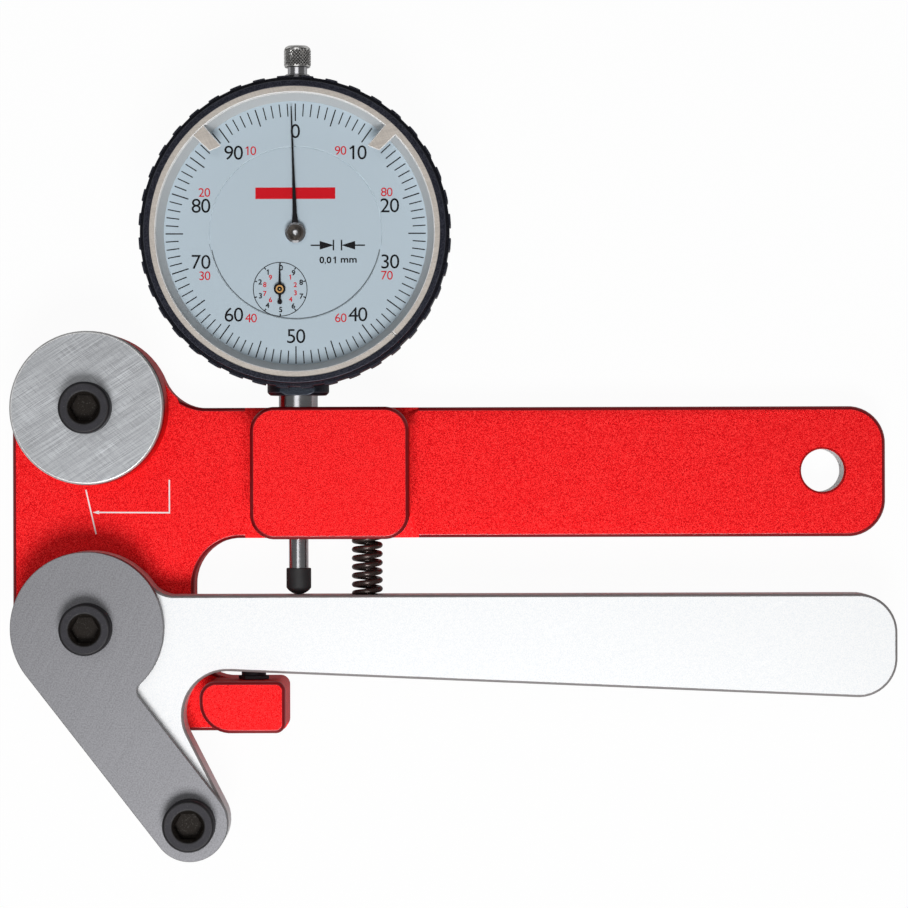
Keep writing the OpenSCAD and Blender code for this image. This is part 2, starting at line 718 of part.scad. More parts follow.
pillar_r = 1.6;
pillar_bore_r = 0.66;
pillar_places = [for (a = [-25, 25, 155, 205]) dial + (case_inner_r - 6.2) * heading(a)];
plate_disc_r = case_inner_r - 3.2;
bridge_z = axis_z - 4.2;
bridge_t = 1.2;
bridge_post_places = [counter + [-7.6, -5.2], counter + [-7.6, 5.2]];
guide_x0 = gauge_x + spindle_r + 0.7;
guide_x1 = guide_x0 + 2.8;
guide_y0 = gauge_y + 4;
guide_y1 = gauge_y + case_inner_r - 4;
pin_r = 0.8;
pin_y = gauge_y + 8.6;
coil_x = guide_x1 + 2.8;
coil_r = 1.4;
coil_wire_r = 0.2;
coil_low = gauge_y - 14;
coil_high = pin_y - pin_r;
stud_place = take_up + [-5.6, 0];

module pillars_at(r, z0, z1) {
    for (p = pillar_places) bore_z(p, r, z0, z1);
}

module movement_rear_plate() {
    color([0.75, 0.66, 0.42]) difference() {
        translate([dial[0], dial[1], rear_plate_z]) cylinder(r = plate_disc_r, h = plate_t);
        bore_z(dial, pivot_r + pivot_gap, rear_plate_z - cut, rear_plate_z + plate_t + cut);
        bore_z(take_up, pivot_r + pivot_gap, rear_plate_z - cut, rear_plate_z + plate_t + cut);
        bore_z(counter, arbor_hole_r, rear_plate_z - cut, rear_plate_z + plate_t + cut);
        pillars_at(pillar_bore_r, rear_plate_z - cut, rear_plate_z + plate_t + cut);
        for (p = bridge_post_places) bore_z(p, 0.81, rear_plate_z - cut, rear_plate_z + plate_t + cut);
    }
}

module movement_front_plate() {
    color([0.75, 0.66, 0.42]) difference() {
        translate([dial[0], dial[1], front_plate_z]) cylinder(r = plate_disc_r, h = plate_t);
        bore_z(dial, arbor_r + pivot_gap, front_plate_z - cut, web_z + cut);
        bore_z(counter, arbor_r + pivot_gap, front_plate_z - cut, web_z + cut);
        bore_z(take_up, pivot_r + pivot_gap, front_plate_z - cut, web_z + cut);
        pillars_at(pillar_bore_r, front_plate_z - cut, web_z + cut);
    }
}

module movement_pillars() {
    color([0.75, 0.66, 0.42]) difference() {
        pillars_at(pillar_r, rear_plate_z + plate_t, front_plate_z);
        pillars_at(pillar_bore_r, rear_plate_z, web_z);
    }
}

module movement_screws() {
    color([0.6, 0.6, 0.62]) difference() {
        union() {
            pillars_at(1.5, rear_plate_z - 0.8, rear_plate_z);
            pillars_at(pillar_bore_r - fixed_gap, rear_plate_z - 0.01, case_z1 - 0.4);
        }
        for (p = pillar_places) translate([p[0] - 2, p[1] - 0.15, rear_plate_z - 1]) cube([4, 0.3, 0.6]);
    }
}

module rack_bridge() {
    color([0.75, 0.66, 0.42]) difference() {
        translate([counter[0], counter[1], bridge_z]) linear_extrude(bridge_t) rounded_outline([
            [-9.8, -7.4, 1.6], [-6, -7.4, 2], [2, -2.2, 2], [2, 2.2, 2], [-6, 7.4, 2], [-9.8, 7.4, 1.6]]);
        bore_z(counter, pivot_r + pivot_gap, bridge_z - cut, bridge_z + bridge_t + cut);
        for (p = bridge_post_places) bore_z(p, 0.81, bridge_z - cut, bridge_z + bridge_t + cut);
    }
}

module bridge_posts() {
    color([0.6, 0.6, 0.62]) for (p = bridge_post_places) {
        bore_z(p, 0.8, bridge_z - 0.3, rear_plate_z + plate_t);
        bore_z(p, 1.5, bridge_z + bridge_t, rear_plate_z);
    }
}

// A bar on the back of the rear plate with a slot that the spindle's pin slides in
module spindle_guide() {
    slot = pin_r + run_gap;
    color([0.6, 0.6, 0.62]) difference() {
        translate([guide_x0, guide_y0, axis_z - 2.6])
            cube([guide_x1 - guide_x0, guide_y1 - guide_y0, rear_plate_z - axis_z + 2.6]);
        translate([guide_x0 - cut, pin_y - pin_r - 0.2, axis_z - slot])
            cube([guide_x1 - guide_x0 + 2 * cut, guide_y1 - 1.6 - (pin_y - pin_r - 0.2), 2 * slot]);
    }
}

module spring_anchor() {
    color([0.6, 0.6, 0.62]) translate([coil_x - 2.2, coil_low - 2.4, axis_z - 2.2])
        cube([4.4, 2.4, rear_plate_z - axis_z + 2.2]);
}

coil_spring_path = coil_path([coil_x, axis_z], coil_r, coil_low + 0.01, coil_high - 0.01, 21, 2 * coil_wire_r);
echo(return_spring_gap = tube_gap(coil_spring_path, coil_wire_r, 6));

module return_spring() {
    color([0.7, 0.7, 0.72]) tube(coil_spring_path, [coil_x, axis_z], coil_wire_r);
}

// A flat spiral from the collet of the take-up arbor to its stud
spiral_z = wheel_z + wheel_t + 0.9;
spiral_wire_r = 0.1;
collet_r = 1.1;
spiral_turns = 3.5;
spiral_reach = take_up[0] - stud_place[0] - 0.9 - 0.01;
spiral_path = let (n = spiral_turns * 8, r0 = collet_r + 0.01, stub = 2 * spiral_wire_r) concat(
    [[take_up[0] + r0, take_up[1], spiral_z]],
    [for (i = [0:n]) let (r = r0 + stub + (spiral_reach - r0 - 2 * stub) * i / n)
        [take_up[0] + r * cos(45 * i), take_up[1] + r * sin(45 * i), spiral_z]],
    [[take_up[0] - spiral_reach, take_up[1], spiral_z]]);
echo(hairspring_gap = tube_gap(spiral_path, spiral_wire_r, 6));

module hairspring() {
    color([0.3, 0.35, 0.5]) tube(spiral_path, [take_up[0] + 0.001, 0], spiral_wire_r);
}

module hairspring_stud() {
    color([0.75, 0.66, 0.42]) translate([stud_place[0] - 0.9, stud_place[1] - 0.9, spiral_z - 0.5])
        cube([1.8, 1.8, front_plate_z - spiral_z + 0.5]);
}

/* Bezel and dials */

module dial_centre() {
    translate([dial[0], dial[1], 0]) children();
}

module bezel() {
    body_r = bezel_r;
    land = 180 / ridge_count;
    bore = case_r + run_gap;
    step_z = marker_z - end_gap;
    lip_z = bezel_z1 - 0.3;
    seat_r = lip_r - 0.3;
    color([0.13, 0.14, 0.18]) dial_centre() difference() {
        union() {
            rotate_extrude() polygon([[bore, bezel_z0 + 0.3], [bore + 0.3, bezel_z0],
                [body_r - 0.5, bezel_z0], [body_r, bezel_z0 + 0.5], [body_r, bezel_z1 - 1],
                [body_r - 0.6, bezel_z1 - 0.6], [body_r - 0.8, bezel_z1], [lip_r, bezel_z1],
                [lip_r, lip_z], [lip_r + 0.55, lip_z], [lip_r + 0.55, step_z], [seat_r, step_z],
                [seat_r, dial_z], [case_r - 2.2, dial_z], [case_r - 2.2, ledge_z], [bore, ledge_z]]);
            for (k = [0:ridge_count - 1]) rotate(4.2 + 360 / ridge_count * k - land / 2)
                rotate_extrude(angle = land) translate([body_r - 0.3, bezel_z0 + 0.6])
                    square([ridge_h + 0.3, bezel_z1 - bezel_z0 - 1.7]);
        }
        translate([0, 0, wire_z - wire_r - 0.05]) cylinder(r = case_r + wire_r + 0.05, h = 2 * wire_r + 0.1);
    }
}

module bezel_wire() {
    color([0.6, 0.6, 0.62]) dial_centre() translate([0, 0, wire_z]) rotate(100)
        rotate_extrude(angle = 340) translate([case_r, 0]) circle(wire_r);
}

module outer_dial() {
    color([0.69, 0.75, 0.78]) dial_centre() translate([0, 0, dial_z])
        ring(lip_r - 0.35, inner_dial_r + 0.08, dial_t);
}

module dial_spacer() {
    color([0.78, 0.77, 0.74]) dial_centre() rotate_extrude() polygon([
        [slope_r, spacer_z], [lip_r - 0.33, spacer_z], [lip_r - 0.33, crystal_z],
        [lip_r - 1.2, crystal_z]]);
}

module crystal() {
    color([0.85, 0.9, 0.92, 0.3]) dial_centre() translate([0, 0, crystal_z])
        cylinder(r = lip_r - 0.32, h = crystal_t);
}

// A split ring under the bezel's lip with a tab that reaches over the dial
module marker(side, level) {
    half = asin(marker_tab_w / 2 / lip_r);
    turn = 90 - side * marker_angle;
    inner = lip_r - 1.2;
    slit = 0.4;
    color([0.78, 0.77, 0.74]) dial_centre() translate([0, 0, level]) {
        rotate(90 - side * 136 + slit / 2) rotate_extrude(angle = 360 - slit)
            translate([inner, 0]) square([lip_r + 0.5 - inner, marker_t]);
        linear_extrude(marker_t) polygon([
            (inner + 0.5) * heading(turn + side * half), marker_tab_r * heading(turn + side * half),
            (marker_tab_r + 0.9) * heading(turn - side * half), (inner + 0.5) * heading(turn - side * half)]);
    }
}

module left_marker() { marker(-1, marker_z); }
module right_marker() { marker(1, marker_z + marker_t + 0.03); }

module inner_dial() {
    color([0.69, 0.75, 0.78]) difference() {
        dial_centre() translate([0, 0, dial_z]) cylinder(r = inner_dial_r, h = dial_t);
        bore_z(dial, 1.5, dial_z - cut, dial_z + 2);
        bore_z(counter, arbor_hole_r, dial_z - cut, dial_z + 2);
    }
}

/* Spindle */

rack_module = 2 * rack_pitch_r / rack_teeth;
rack_x = counter[0] + rack_pitch_r;
rack_step = counter_travel / rack_teeth;
wheel_span = norm([counter_dx, counter_dy]);
wheel_module = 2 * wheel_span / (wheel_teeth + pinion_teeth);
mesh_turn = atan2(counter_dy, counter_dx);

module spindle() {
    teeth = 24;
    low = counter[1] - rack_step * 18;
    root = rack_x + 1.25 * rack_module;
    top = cap_low + 3;
    color([0.72, 0.73, 0.75]) difference() {
        turned_y(gauge_x, [[0, tip_low + tip_h - 3], [spindle_r, tip_low + tip_h - 3],
            [spindle_r, top], [0, top]]);
        // rack: the spaces between the teeth, and the flat over them
        translate([0, 0, axis_z - spindle_r - cut]) linear_extrude(2 * (spindle_r + cut)) {
            translate([gauge_x - spindle_r - 1, low - rack_step])
                square([rack_x - 0.9 * rack_module - gauge_x + spindle_r + 1, rack_step * (teeth + 1)]);
            for (i = [0:teeth]) translate([0, low + rack_step * (i - 0.5)]) polygon([
                [rack_x - 1.2 * rack_module, -0.36 * rack_step], [root, -0.16 * rack_step],
                [root, 0.16 * rack_step], [rack_x - 1.2 * rack_module, 0.36 * rack_step]]);
        }
        bar_x(gauge_x - 0.6, gauge_x + spindle_r + cut, pin_r + 0.005);
    }
}

// A round bar along X at the height of the guide pin
module bar_x(x0, x1, r) {
    translate([x0, pin_y, axis_z]) rotate([0, 90, 0]) cylinder(r = r, h = x1 - x0);
}

module guide_pin() {
    color([0.6, 0.6, 0.62]) {
        bar_x(gauge_x - 0.55, coil_x, pin_r);
        translate([guide_x1 + 0.4, pin_y - pin_r, axis_z - 2]) cube([coil_x + 2 - guide_x1 - 0.4, 2 * pin_r, 4]);
    }
}

module lift_cap() {
    color([0.6, 0.6, 0.62]) turned_y(gauge_x, [[0, cap_low + 3.01], [spindle_r + 0.005, cap_low + 3.01],
        [spindle_r + 0.005, cap_low], [cap_r - 0.3, cap_low], [cap_r, cap_low + 0.3],
        [cap_r, cap_low + cap_h - 0.8], [cap_r - 0.25, cap_low + cap_h - 0.3],
        [cap_r - 0.9, cap_low + cap_h], [0, cap_low + cap_h]]);
}

module contact_tip() {
    dome = 3;
    color([0.08, 0.08, 0.08]) difference() {
        union() {
            intersection() {
                bar_y(gauge_x, tip_low - 1, tip_low + dome, rubber_r);
                translate([gauge_x, tip_low + dome, axis_z]) sphere(dome);
            }
            bar_y(gauge_x, tip_low + dome - 0.01, tip_low + tip_h, rubber_r);
        }
        bar_y(gauge_x, tip_low + tip_h - 3.01, tip_low + tip_h + cut, spindle_r + 0.005);
    }
}

/* Gear train and pointers */

module center_pinion() {
    color([0.7, 0.71, 0.73]) {
        bore_z(dial, pivot_r, rear_plate_z, wheel_z);
        bore_z(dial, arbor_r, rear_plate_z + plate_t + end_gap, pointer_z + 0.2);
        translate([dial[0], dial[1], wheel_z - 0.2]) rotate(mesh_turn + 180 / pinion_teeth)
            toothed(pinion_teeth, wheel_module * pinion_teeth / 2, wheel_module, 0.9, wheel_t + 0.4);
    }
}

module pointer_hub() {
    color([0.35, 0.35, 0.37]) translate([dial[0], dial[1], 0]) rotate_extrude() polygon([
        [arbor_r + 0.005, pointer_z - 0.55], [1.5, pointer_z - 0.55], [1.5, pointer_z - 0.3],
        [1.95, pointer_z - 0.3], [1.95, pointer_z], [1.2, pointer_z], [1.2, pointer_z + 0.9],
        [0, pointer_z + 0.9], [0, pointer_z + 0.21], [arbor_r + 0.005, pointer_z + 0.21]]);
}

module main_pointer() {
    color([0.05, 0.05, 0.05]) translate([dial[0], dial[1], pointer_z]) rotate(91.8) difference() {
        linear_extrude(0.3) {
            circle(1.95);
            polygon([[1, -1], [3, -0.62], [pointer_l, -0.12], [pointer_l, 0.12], [3, 0.62], [1, 1]]);
        }
        translate([0, 0, -cut]) cylinder(r = 1.21, h = 2);
    }
}

module counter_arbor() {
    color([0.7, 0.71, 0.73]) {
        bore_z(counter, pivot_r, bridge_z, bridge_z + bridge_t + 1);
        bore_z(counter, arbor_r, bridge_z + bridge_t + end_gap, counter_pointer_z + 0.5);
        translate([counter[0], counter[1], axis_z - 1.6]) rotate(180 / rack_teeth)
            toothed(rack_teeth, rack_pitch_r, rack_module, 0.9, 3.2);
    }
}

module wheel(place, turn) {
    color([0.75, 0.66, 0.42]) translate([place[0], place[1], wheel_z]) difference() {
        rotate(turn) toothed(wheel_teeth, wheel_module * wheel_teeth / 2, wheel_module, 0.9, wheel_t);
        translate([0, 0, -cut]) cylinder(r = arbor_r + 0.005, h = wheel_t + 2 * cut);
        for (k = [0:3]) rotate(45 + 90 * k) translate([5.6, 0, -cut]) cylinder(r = 2.9, h = wheel_t + 2 * cut);
    }
}

module counter_wheel() { wheel(counter, mesh_turn); }
module take_up_wheel() { wheel(take_up, mesh_turn + 180); }

module take_up_arbor() {
    color([0.7, 0.71, 0.73]) {
        bore_z(take_up, pivot_r, rear_plate_z, web_z);
        bore_z(take_up, arbor_r, rear_plate_z + plate_t + end_gap, front_plate_z - end_gap);
        bore_z(take_up, collet_r, spiral_z - 0.5, spiral_z + 0.5);
    }
}

module counter_pointer() {
    color([0.05, 0.05, 0.05]) translate([counter[0], counter[1], counter_pointer_z]) difference() {
        linear_extrude(0.25) {
            circle(1);
            translate([0, -2.6]) circle(0.5);
            polygon([[-0.3, 0], [-0.2, -2.6], [0.2, -2.6], [0.3, 0], [0.1, 5.1], [-0.1, 5.1]]);
        }
        translate([0, 0, -cut]) cylinder(r = arbor_r + 0.005, h = 2);
    }
}

/* Assembly */

frame_body();
upper_support_disc();
upper_contact_post();
pivot_bolt();
thrust_washer();
stem_clamp_screw();
stop_screw();
stop_lock_nut();
handle_spring();
lever_arm();
lever_bush();
lever_support_plate();
lower_contact_post();
gauge_case();
gauge_stem();
stem_bush();
top_bush();
back_cover();
back_cover_screws();
movement_rear_plate();
movement_front_plate();
movement_pillars();
movement_screws();
rack_bridge();
bridge_posts();
spindle_guide();
spring_anchor();
return_spring();
inner_dial();
hairspring();
hairspring_stud();
bezel_wire();
bezel();
outer_dial();
dial_spacer();
crystal();
left_marker();
right_marker();
spindle();
guide_pin();
lift_cap();
contact_tip();
center_pinion();
pointer_hub();
main_pointer();
counter_arbor();
counter_wheel();
counter_pointer();
take_up_arbor();
take_up_wheel();
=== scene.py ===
"""Looks of a spoke tension meter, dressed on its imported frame.

Sizes are written in millimetres and turned into metres where a mesh is made. The meter lies on its
back: X runs along the handle, Y towards the gauge and Z out of the dial.
"""

import sys
import logging
import math
from dataclasses import dataclass, field
from enum import Enum
from typing import Callable, Iterable, Sequence

import bmesh
import bpy
from mathutils import Matrix, Vector


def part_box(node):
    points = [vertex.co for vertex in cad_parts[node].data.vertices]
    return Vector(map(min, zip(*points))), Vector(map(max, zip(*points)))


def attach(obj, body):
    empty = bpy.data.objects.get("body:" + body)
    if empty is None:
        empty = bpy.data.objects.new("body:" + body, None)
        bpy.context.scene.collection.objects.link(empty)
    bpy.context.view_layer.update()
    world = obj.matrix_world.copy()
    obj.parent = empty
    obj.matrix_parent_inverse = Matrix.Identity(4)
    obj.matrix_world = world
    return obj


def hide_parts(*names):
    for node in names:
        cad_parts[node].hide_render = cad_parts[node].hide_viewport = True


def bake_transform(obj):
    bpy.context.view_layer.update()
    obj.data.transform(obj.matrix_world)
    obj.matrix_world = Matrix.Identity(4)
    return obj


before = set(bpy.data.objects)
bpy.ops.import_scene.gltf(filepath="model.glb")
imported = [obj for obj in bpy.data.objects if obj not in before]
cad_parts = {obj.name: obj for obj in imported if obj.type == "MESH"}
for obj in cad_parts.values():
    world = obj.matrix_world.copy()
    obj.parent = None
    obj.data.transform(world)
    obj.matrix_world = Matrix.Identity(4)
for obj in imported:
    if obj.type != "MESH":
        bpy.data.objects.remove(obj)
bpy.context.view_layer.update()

log = logging.getLogger("tension_meter")
MM = 0.001
Colour = tuple[float, float, float]
Point = tuple[float, float, float]
Spot = tuple[float, float]
Place = tuple[str, float, float]

GAUGE_AXIS: Spot = (42.9, 80.35)
COUNTER_AXIS: Spot = (39.65, 68.95)
DIAL_TOP = 25.95  # height of the dials' printed faces
PRINT_CENTRE: Point = (GAUGE_AXIS[0], GAUGE_AXIS[1] - 0.15, DIAL_TOP)
DIGIT_HEIGHT = 0.69  # height of a digit in the built-in type at size 1
DIGIT_PITCH = 0.68  # step from digit to digit, as a share of their height
DIGIT_STRETCH = 1.04  # how much wider than the built-in type they are
INK_RISE = 0.02  # thickness of anything printed
HEAVY_RISE = 0.003  # step in height between the prints of a heavy stroke


class Body(Enum):
    """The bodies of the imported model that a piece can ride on."""

    FRAME = "frame"
    LEVER = "lever"
    SPINDLE = "spindle"
    BEZEL = "bezel"
    LEFT_MARKER = "left_marker"
    RIGHT_MARKER = "right_marker"
    POINTER = "pointer"
    COUNTER = "counter"


# ---------------------------------------------------------------- shader graph


class Signal:
    """A shader socket that a Python expression can work on."""

    def __init__(self, graph: "Graph", socket: bpy.types.NodeSocket) -> None:
        """Wraps one output socket of a graph."""
        self.graph = graph
        self.socket = socket

    def _math(self, operation: str, *terms: "Signal | float") -> "Signal":
        """Adds one Math node.

        Args:
            operation: the Math node's operation.
            terms: its inputs, in order.

        Returns:
            The node's result.
        """
        return self.graph.value("ShaderNodeMath", {"operation": operation}, dict(enumerate(terms)))

    def __add__(self, other: "Signal | float") -> "Signal":
        """Sum."""
        return self._math("ADD", self, other)

    def __radd__(self, other: float) -> "Signal":
        """Sum, number first."""
        return self._math("ADD", other, self)

    def __sub__(self, other: "Signal | float") -> "Signal":
        """Difference."""
        return self._math("SUBTRACT", self, other)

    def __rsub__(self, other: float) -> "Signal":
        """Difference, number first."""
        return self._math("SUBTRACT", other, self)

    def __mul__(self, other: "Signal | float") -> "Signal":
        """Product."""
        return self._math("MULTIPLY", self, other)

    def __rmul__(self, other: float) -> "Signal":
        """Product, number first."""
        return self._math("MULTIPLY", other, self)

    def __truediv__(self, other: "Signal | float") -> "Signal":
        """Quotient."""
        return self._math("DIVIDE", self, other)

    def wave(self) -> "Signal":
        """Its sine, the signal taken in radians."""
        return self._math("SINE", self)

    def above(self, edge: float, soft: float) -> "Signal":
        """A mask that runs from 0 to 1 as the signal passes edge.

        Args:
            edge: the value where the mask is one half.
            soft: the width of the ramp on either side.

        Returns:
            The mask, held between 0 and 1.
        """
        return self.graph.value(
            "ShaderNodeMapRange",
            {"clamp": True, "interpolation_type": "SMOOTHSTEP"},
            {"Value": self, "From Min": edge - soft, "From Max": edge + soft},
        )


class Graph:
    """The node tree of one material or world, with the few node shapes that the finishes share."""

    def __init__(self, owner: bpy.types.Material | bpy.types.World) -> None:
        """Starts with an empty tree.

        Args:
            owner: the material or world that the tree belongs to.
        """
        owner.use_nodes = True
        self.owner = owner
        self.tree = owner.node_tree
        self.tree.nodes.clear()

    def node(self, kind: str, settings: dict | None = None, inputs: dict | None = None) -> bpy.types.Node:
        """Adds one node.

        Args:
            kind: the node's type.
            settings: its own settings, set first.
            inputs: a value or a Signal for each socket, by name or number.

        Returns:
            The node.
        """
        made = self.tree.nodes.new(kind)
        for key, wanted in (settings or {}).items():
            setattr(made, key, wanted)
        for key, wanted in (inputs or {}).items():
            if isinstance(wanted, Signal):
                self.tree.links.new(wanted.socket, made.inputs[key])
            else:
                made.inputs[key].default_value = wanted
        return made

    def value(
        self, kind: str, settings: dict | None = None, inputs: dict | None = None, out: str | int = 0
    ) -> Signal:
        """Adds one node and takes one of its outputs.

        Args:
            kind: the node's type.
            settings: its own settings.
            inputs: a value or a Signal for each socket.
            out: the output wanted, by name or number.

        Returns:
            That output.
        """
        return Signal(self, self.node(kind, settings, inputs).outputs[out])

    def place(self, turn: float = 0.0, stretch: Point = (1, 1, 1), centre: Point = (0, 0, 0)) -> Signal:
        """The point on the piece, in millimetres, turned about Z and stretched.

        Args:
            turn: angle of the pattern's own X axis from the meter's, in degrees.
            stretch: how many millimetres make one unit of the pattern along each of its axes.
            centre: the pattern's centre, in millimetres.

        Returns:
            The vector that a pattern reads.
        """
        spot = self.value("ShaderNodeTexCoord", out="Object")
        return self.value(
            "ShaderNodeMapping",
            {"vector_type": "TEXTURE"},
            {
                "Vector": spot,
                "Location": [c * MM for c in centre],
                "Rotation": (0, 0, math.radians(turn)),
                "Scale": [s * MM for s in stretch],
            },
        )

    def noise(self, where: Signal, detail: float = 2.0, rough: float = 0.5) -> Signal:
        """A noise of about one unit.

        Args:
            where: the vector that it reads.
            detail: how many finer layers it has.
            rough: how strong those layers are.

        Returns:
            The noise, about 0.5 on average.
        """
        return self.value(
            "ShaderNodeTexNoise", {}, {"Vector": where, "Scale": 1.0, "Detail": detail, "Roughness": rough}
        )

    def cells(self, size: float, detail: float = 2.0, rough: float = 0.5) -> Signal:
        """A noise that is as coarse in every direction.

        Args:
            size: how many millimetres one cell takes.
            detail: how many finer layers it has.
            rough: how strong those layers are.

        Returns:
            The noise, about 0.5 on average.
        """
        return self.noise(self.place(stretch=(size, size, size)), detail, rough)

    def blend(self, mask: Signal | float, low: Signal | Colour, high: Signal | Colour) -> Signal:
        """Mixes two colours.

        Args:
            mask: 0 gives low and 1 gives high.
            low: first colour.
            high: second colour.

        Returns:
            The mixed colour.
        """
        pair = [c if isinstance(c, Signal) else (*c, 1) for c in (low, high)]
        return self.value("ShaderNodeMix", {"data_type": "RGBA"}, {0: mask, 6: pair[0], 7: pair[1]}, out=2)

    def relief(self, height: Signal, depth: float) -> Signal:
        """A bump.

        Args:
            height: 0 to 1 over the surface.
            depth: millimetres between 0 and 1.

        Returns:
            The bent normal.
        """
        return self.value("ShaderNodeBump", {}, {"Height": height, "Distance": depth * MM, "Strength": 1.0})

    def close(self, **sockets: "Signal | float | Colour") -> bpy.types.Material:
        """Ends the graph in one surface shader.

        Args:
            sockets: the shader's inputs, with _ for a space.

        Returns:
            The finished material.
        """
        named = {k.replace("_", " "): v for k, v in sockets.items()}
        for key in ("Base Color", "Coat Tint", "Specular Tint"):
            if isinstance(named.get(key), tuple) and len(named[key]) == 3:
                named[key] = (*named[key], 1)
        surface = self.value("ShaderNodeBsdfPrincipled", {}, named)
        self.node("ShaderNodeOutputMaterial", {}, {"Surface": surface})
        return self.owner


# -------------------------------------------------------------------- finishes

MADE: dict[str, bpy.types.Material] = {}


@dataclass(frozen=True)
class Finish:
    """What every finish has: a name, the record's slot that it stands for, and its colour."""

    name: str
    slot: str
    colour: Colour

    def material(self) -> bpy.types.Material:
        """Makes the finish once and gives it again after that."""
        if self.name not in MADE:
            MADE[self.name] = self.mix(Graph(bpy.data.materials.new(f"{self.name}_finish")))
        return MADE[self.name]

    def mix(self, g: Graph) -> bpy.types.Material:
        """Builds the nodes.

        Args:
            g: an empty graph.

        Returns:
            The finished material.
        """
        raise NotImplementedError

    def shade(self, by: float) -> Colour:
        """The finish's colour, darker or lighter by a factor."""
        return tuple(min(1.0, c * by) for c in self.colour)


@dataclass(frozen=True)
class Anodised(Finish):
    """Blasted and anodised aluminium: a satin colour with a grain of pits and glints."""

    pit: Colour = (0.0, 0.0, 0.0)
    glint: Colour = (1.0, 1.0, 1.0)
    roughness: float = 0.42
    metal: float = 0.55
    grain: float = 0.26
    gloss: float = 0.3

    def mix(self, g: Graph) -> bpy.types.Material:
        """Builds the nodes.

        Args:
            g: an empty graph.

        Returns:
            The finished material.
        """
        fine = g.cells(self.grain, 2.0, 0.6)
        broad = g.cells(26, 2.0)
        wear = g.noise(g.place(turn=24, stretch=(9, 2.4, 9)), 4.0, 0.6).above(0.7, 0.09)
        dark = g.blend((0.5 - fine) * 8.0, self.colour, self.pit)
        grain = g.blend((fine - 0.5) * 7.0, dark, self.glint)
        tone = g.blend(broad * 0.25, grain, self.shade(0.92))
        return g.close(
            Base_Color=g.blend(wear * 0.08, tone, self.shade(1.25)),
            Metallic=self.metal,
            Roughness=self.roughness + 0.14 * fine - 0.05 * wear,
            Normal=g.relief(fine, 0.008),
            Specular_IOR_Level=self.gloss,
        )


@dataclass(frozen=True)
class EdgeCut(Finish):
    """The rounded edge of a piece, smoother than its faces; on most edges its colour is a lighter or darker
    copy of theirs, painted highlight or painted shade.
    """

    roughness: float = 0.3
    metal: float = 0.7
    coat: float = 0.0

    def mix(self, g: Graph) -> bpy.types.Material:
        """Builds the nodes.

        Args:
            g: an empty graph.

        Returns:
            The finished material.
        """
        streak = g.noise(g.place(stretch=(0.4, 0.4, 6)), 3.0)
        rubbed = g.cells(3, 4.0, 0.65).above(0.66, 0.08)
        tone = g.blend(streak, self.shade(0.86), self.shade(1.1))
        return g.close(
            Base_Color=g.blend(rubbed * 0.22, tone, self.shade(1.5)),
            Metallic=self.metal,
            Roughness=self.roughness + 0.12 * streak,
            Coat_Weight=self.coat,
        )


@dataclass(frozen=True)
class GroundSteel(Finish):
    """Steel ground flat: fine lines in one direction, a few across them, and cloudy patches."""

    turn: float = 30.0
    roughness: float = 0.34
    contrast: float = 0.2
    metal: float = 0.85
    line: float = 0.13
    across: float = 0.0
    cloud: float = 0.3
    speck: float = 0.1

    def mix(self, g: Graph) -> bpy.types.Material:
        """Builds the nodes.

        Args:
            g: an empty graph.

        Returns:
            The finished material.
        """
        fine = g.noise(g.place(self.turn, (7, self.line, 7)), 3.0, 0.6)
        other = g.noise(g.place(self.turn - 76, (4, self.line, 4)), 2.0)
        wide = g.noise(g.place(self.turn + 2, (26, 1.3, 26)), 3.0)
        patch = g.cells(5, 3.0, 0.6)
        scratch = g.noise(g.place(self.turn - 9, (7, 0.09, 7)), 2.0).above(0.7, 0.03)
        weave = (fine + self.across * (other - 0.5)).above(0.5, 0.17)
        lines = g.blend(weave, self.shade(1 - self.contrast), self.shade(1 + self.contrast))
        banded = g.blend(wide.above(0.5, 0.2) * self.cloud, lines, self.shade(0.72))
        clouded = g.blend(patch.above(0.5, 0.2) * self.cloud, banded, self.shade(0.86))
        dots = g.cells(0.3, 2.0).above(0.5, 0.16)
        tone = g.blend(dots * self.speck, clouded, self.shade(1.6))
        return g.close(
            Base_Color=g.blend(scratch * 0.3, tone, self.shade(1.4)),
            Metallic=self.metal,
            Roughness=self.roughness + 0.18 * fine,
            Normal=g.relief(fine, 0.004),
        )


@dataclass(frozen=True)
class TurnedMetal(Finish):
    """Turned or drawn metal: bright, with faint rings round its own axis."""

    along: Point = (40, 0.12, 40)
    roughness: float = 0.18
    contrast: float = 0.1
    metal: float = 1.0

    def mix(self, g: Graph) -> bpy.types.Material:
        """Builds the nodes.

        Args:
            g: an empty graph.

        Returns:
            The finished material.
        """
        rings = g.noise(g.place(stretch=self.along), 3.0, 0.6)
        smear = g.cells(5, 3.0)
        tone = g.blend(rings.above(0.5, 0.3), self.shade(1 - self.contrast), self.shade(1 + self.contrast))
        return g.close(
            Base_Color=tone,
            Metallic=self.metal,
            Roughness=self.roughness + 0.08 * rings + 0.1 * smear,
            Normal=g.relief(rings, 0.003),
        )


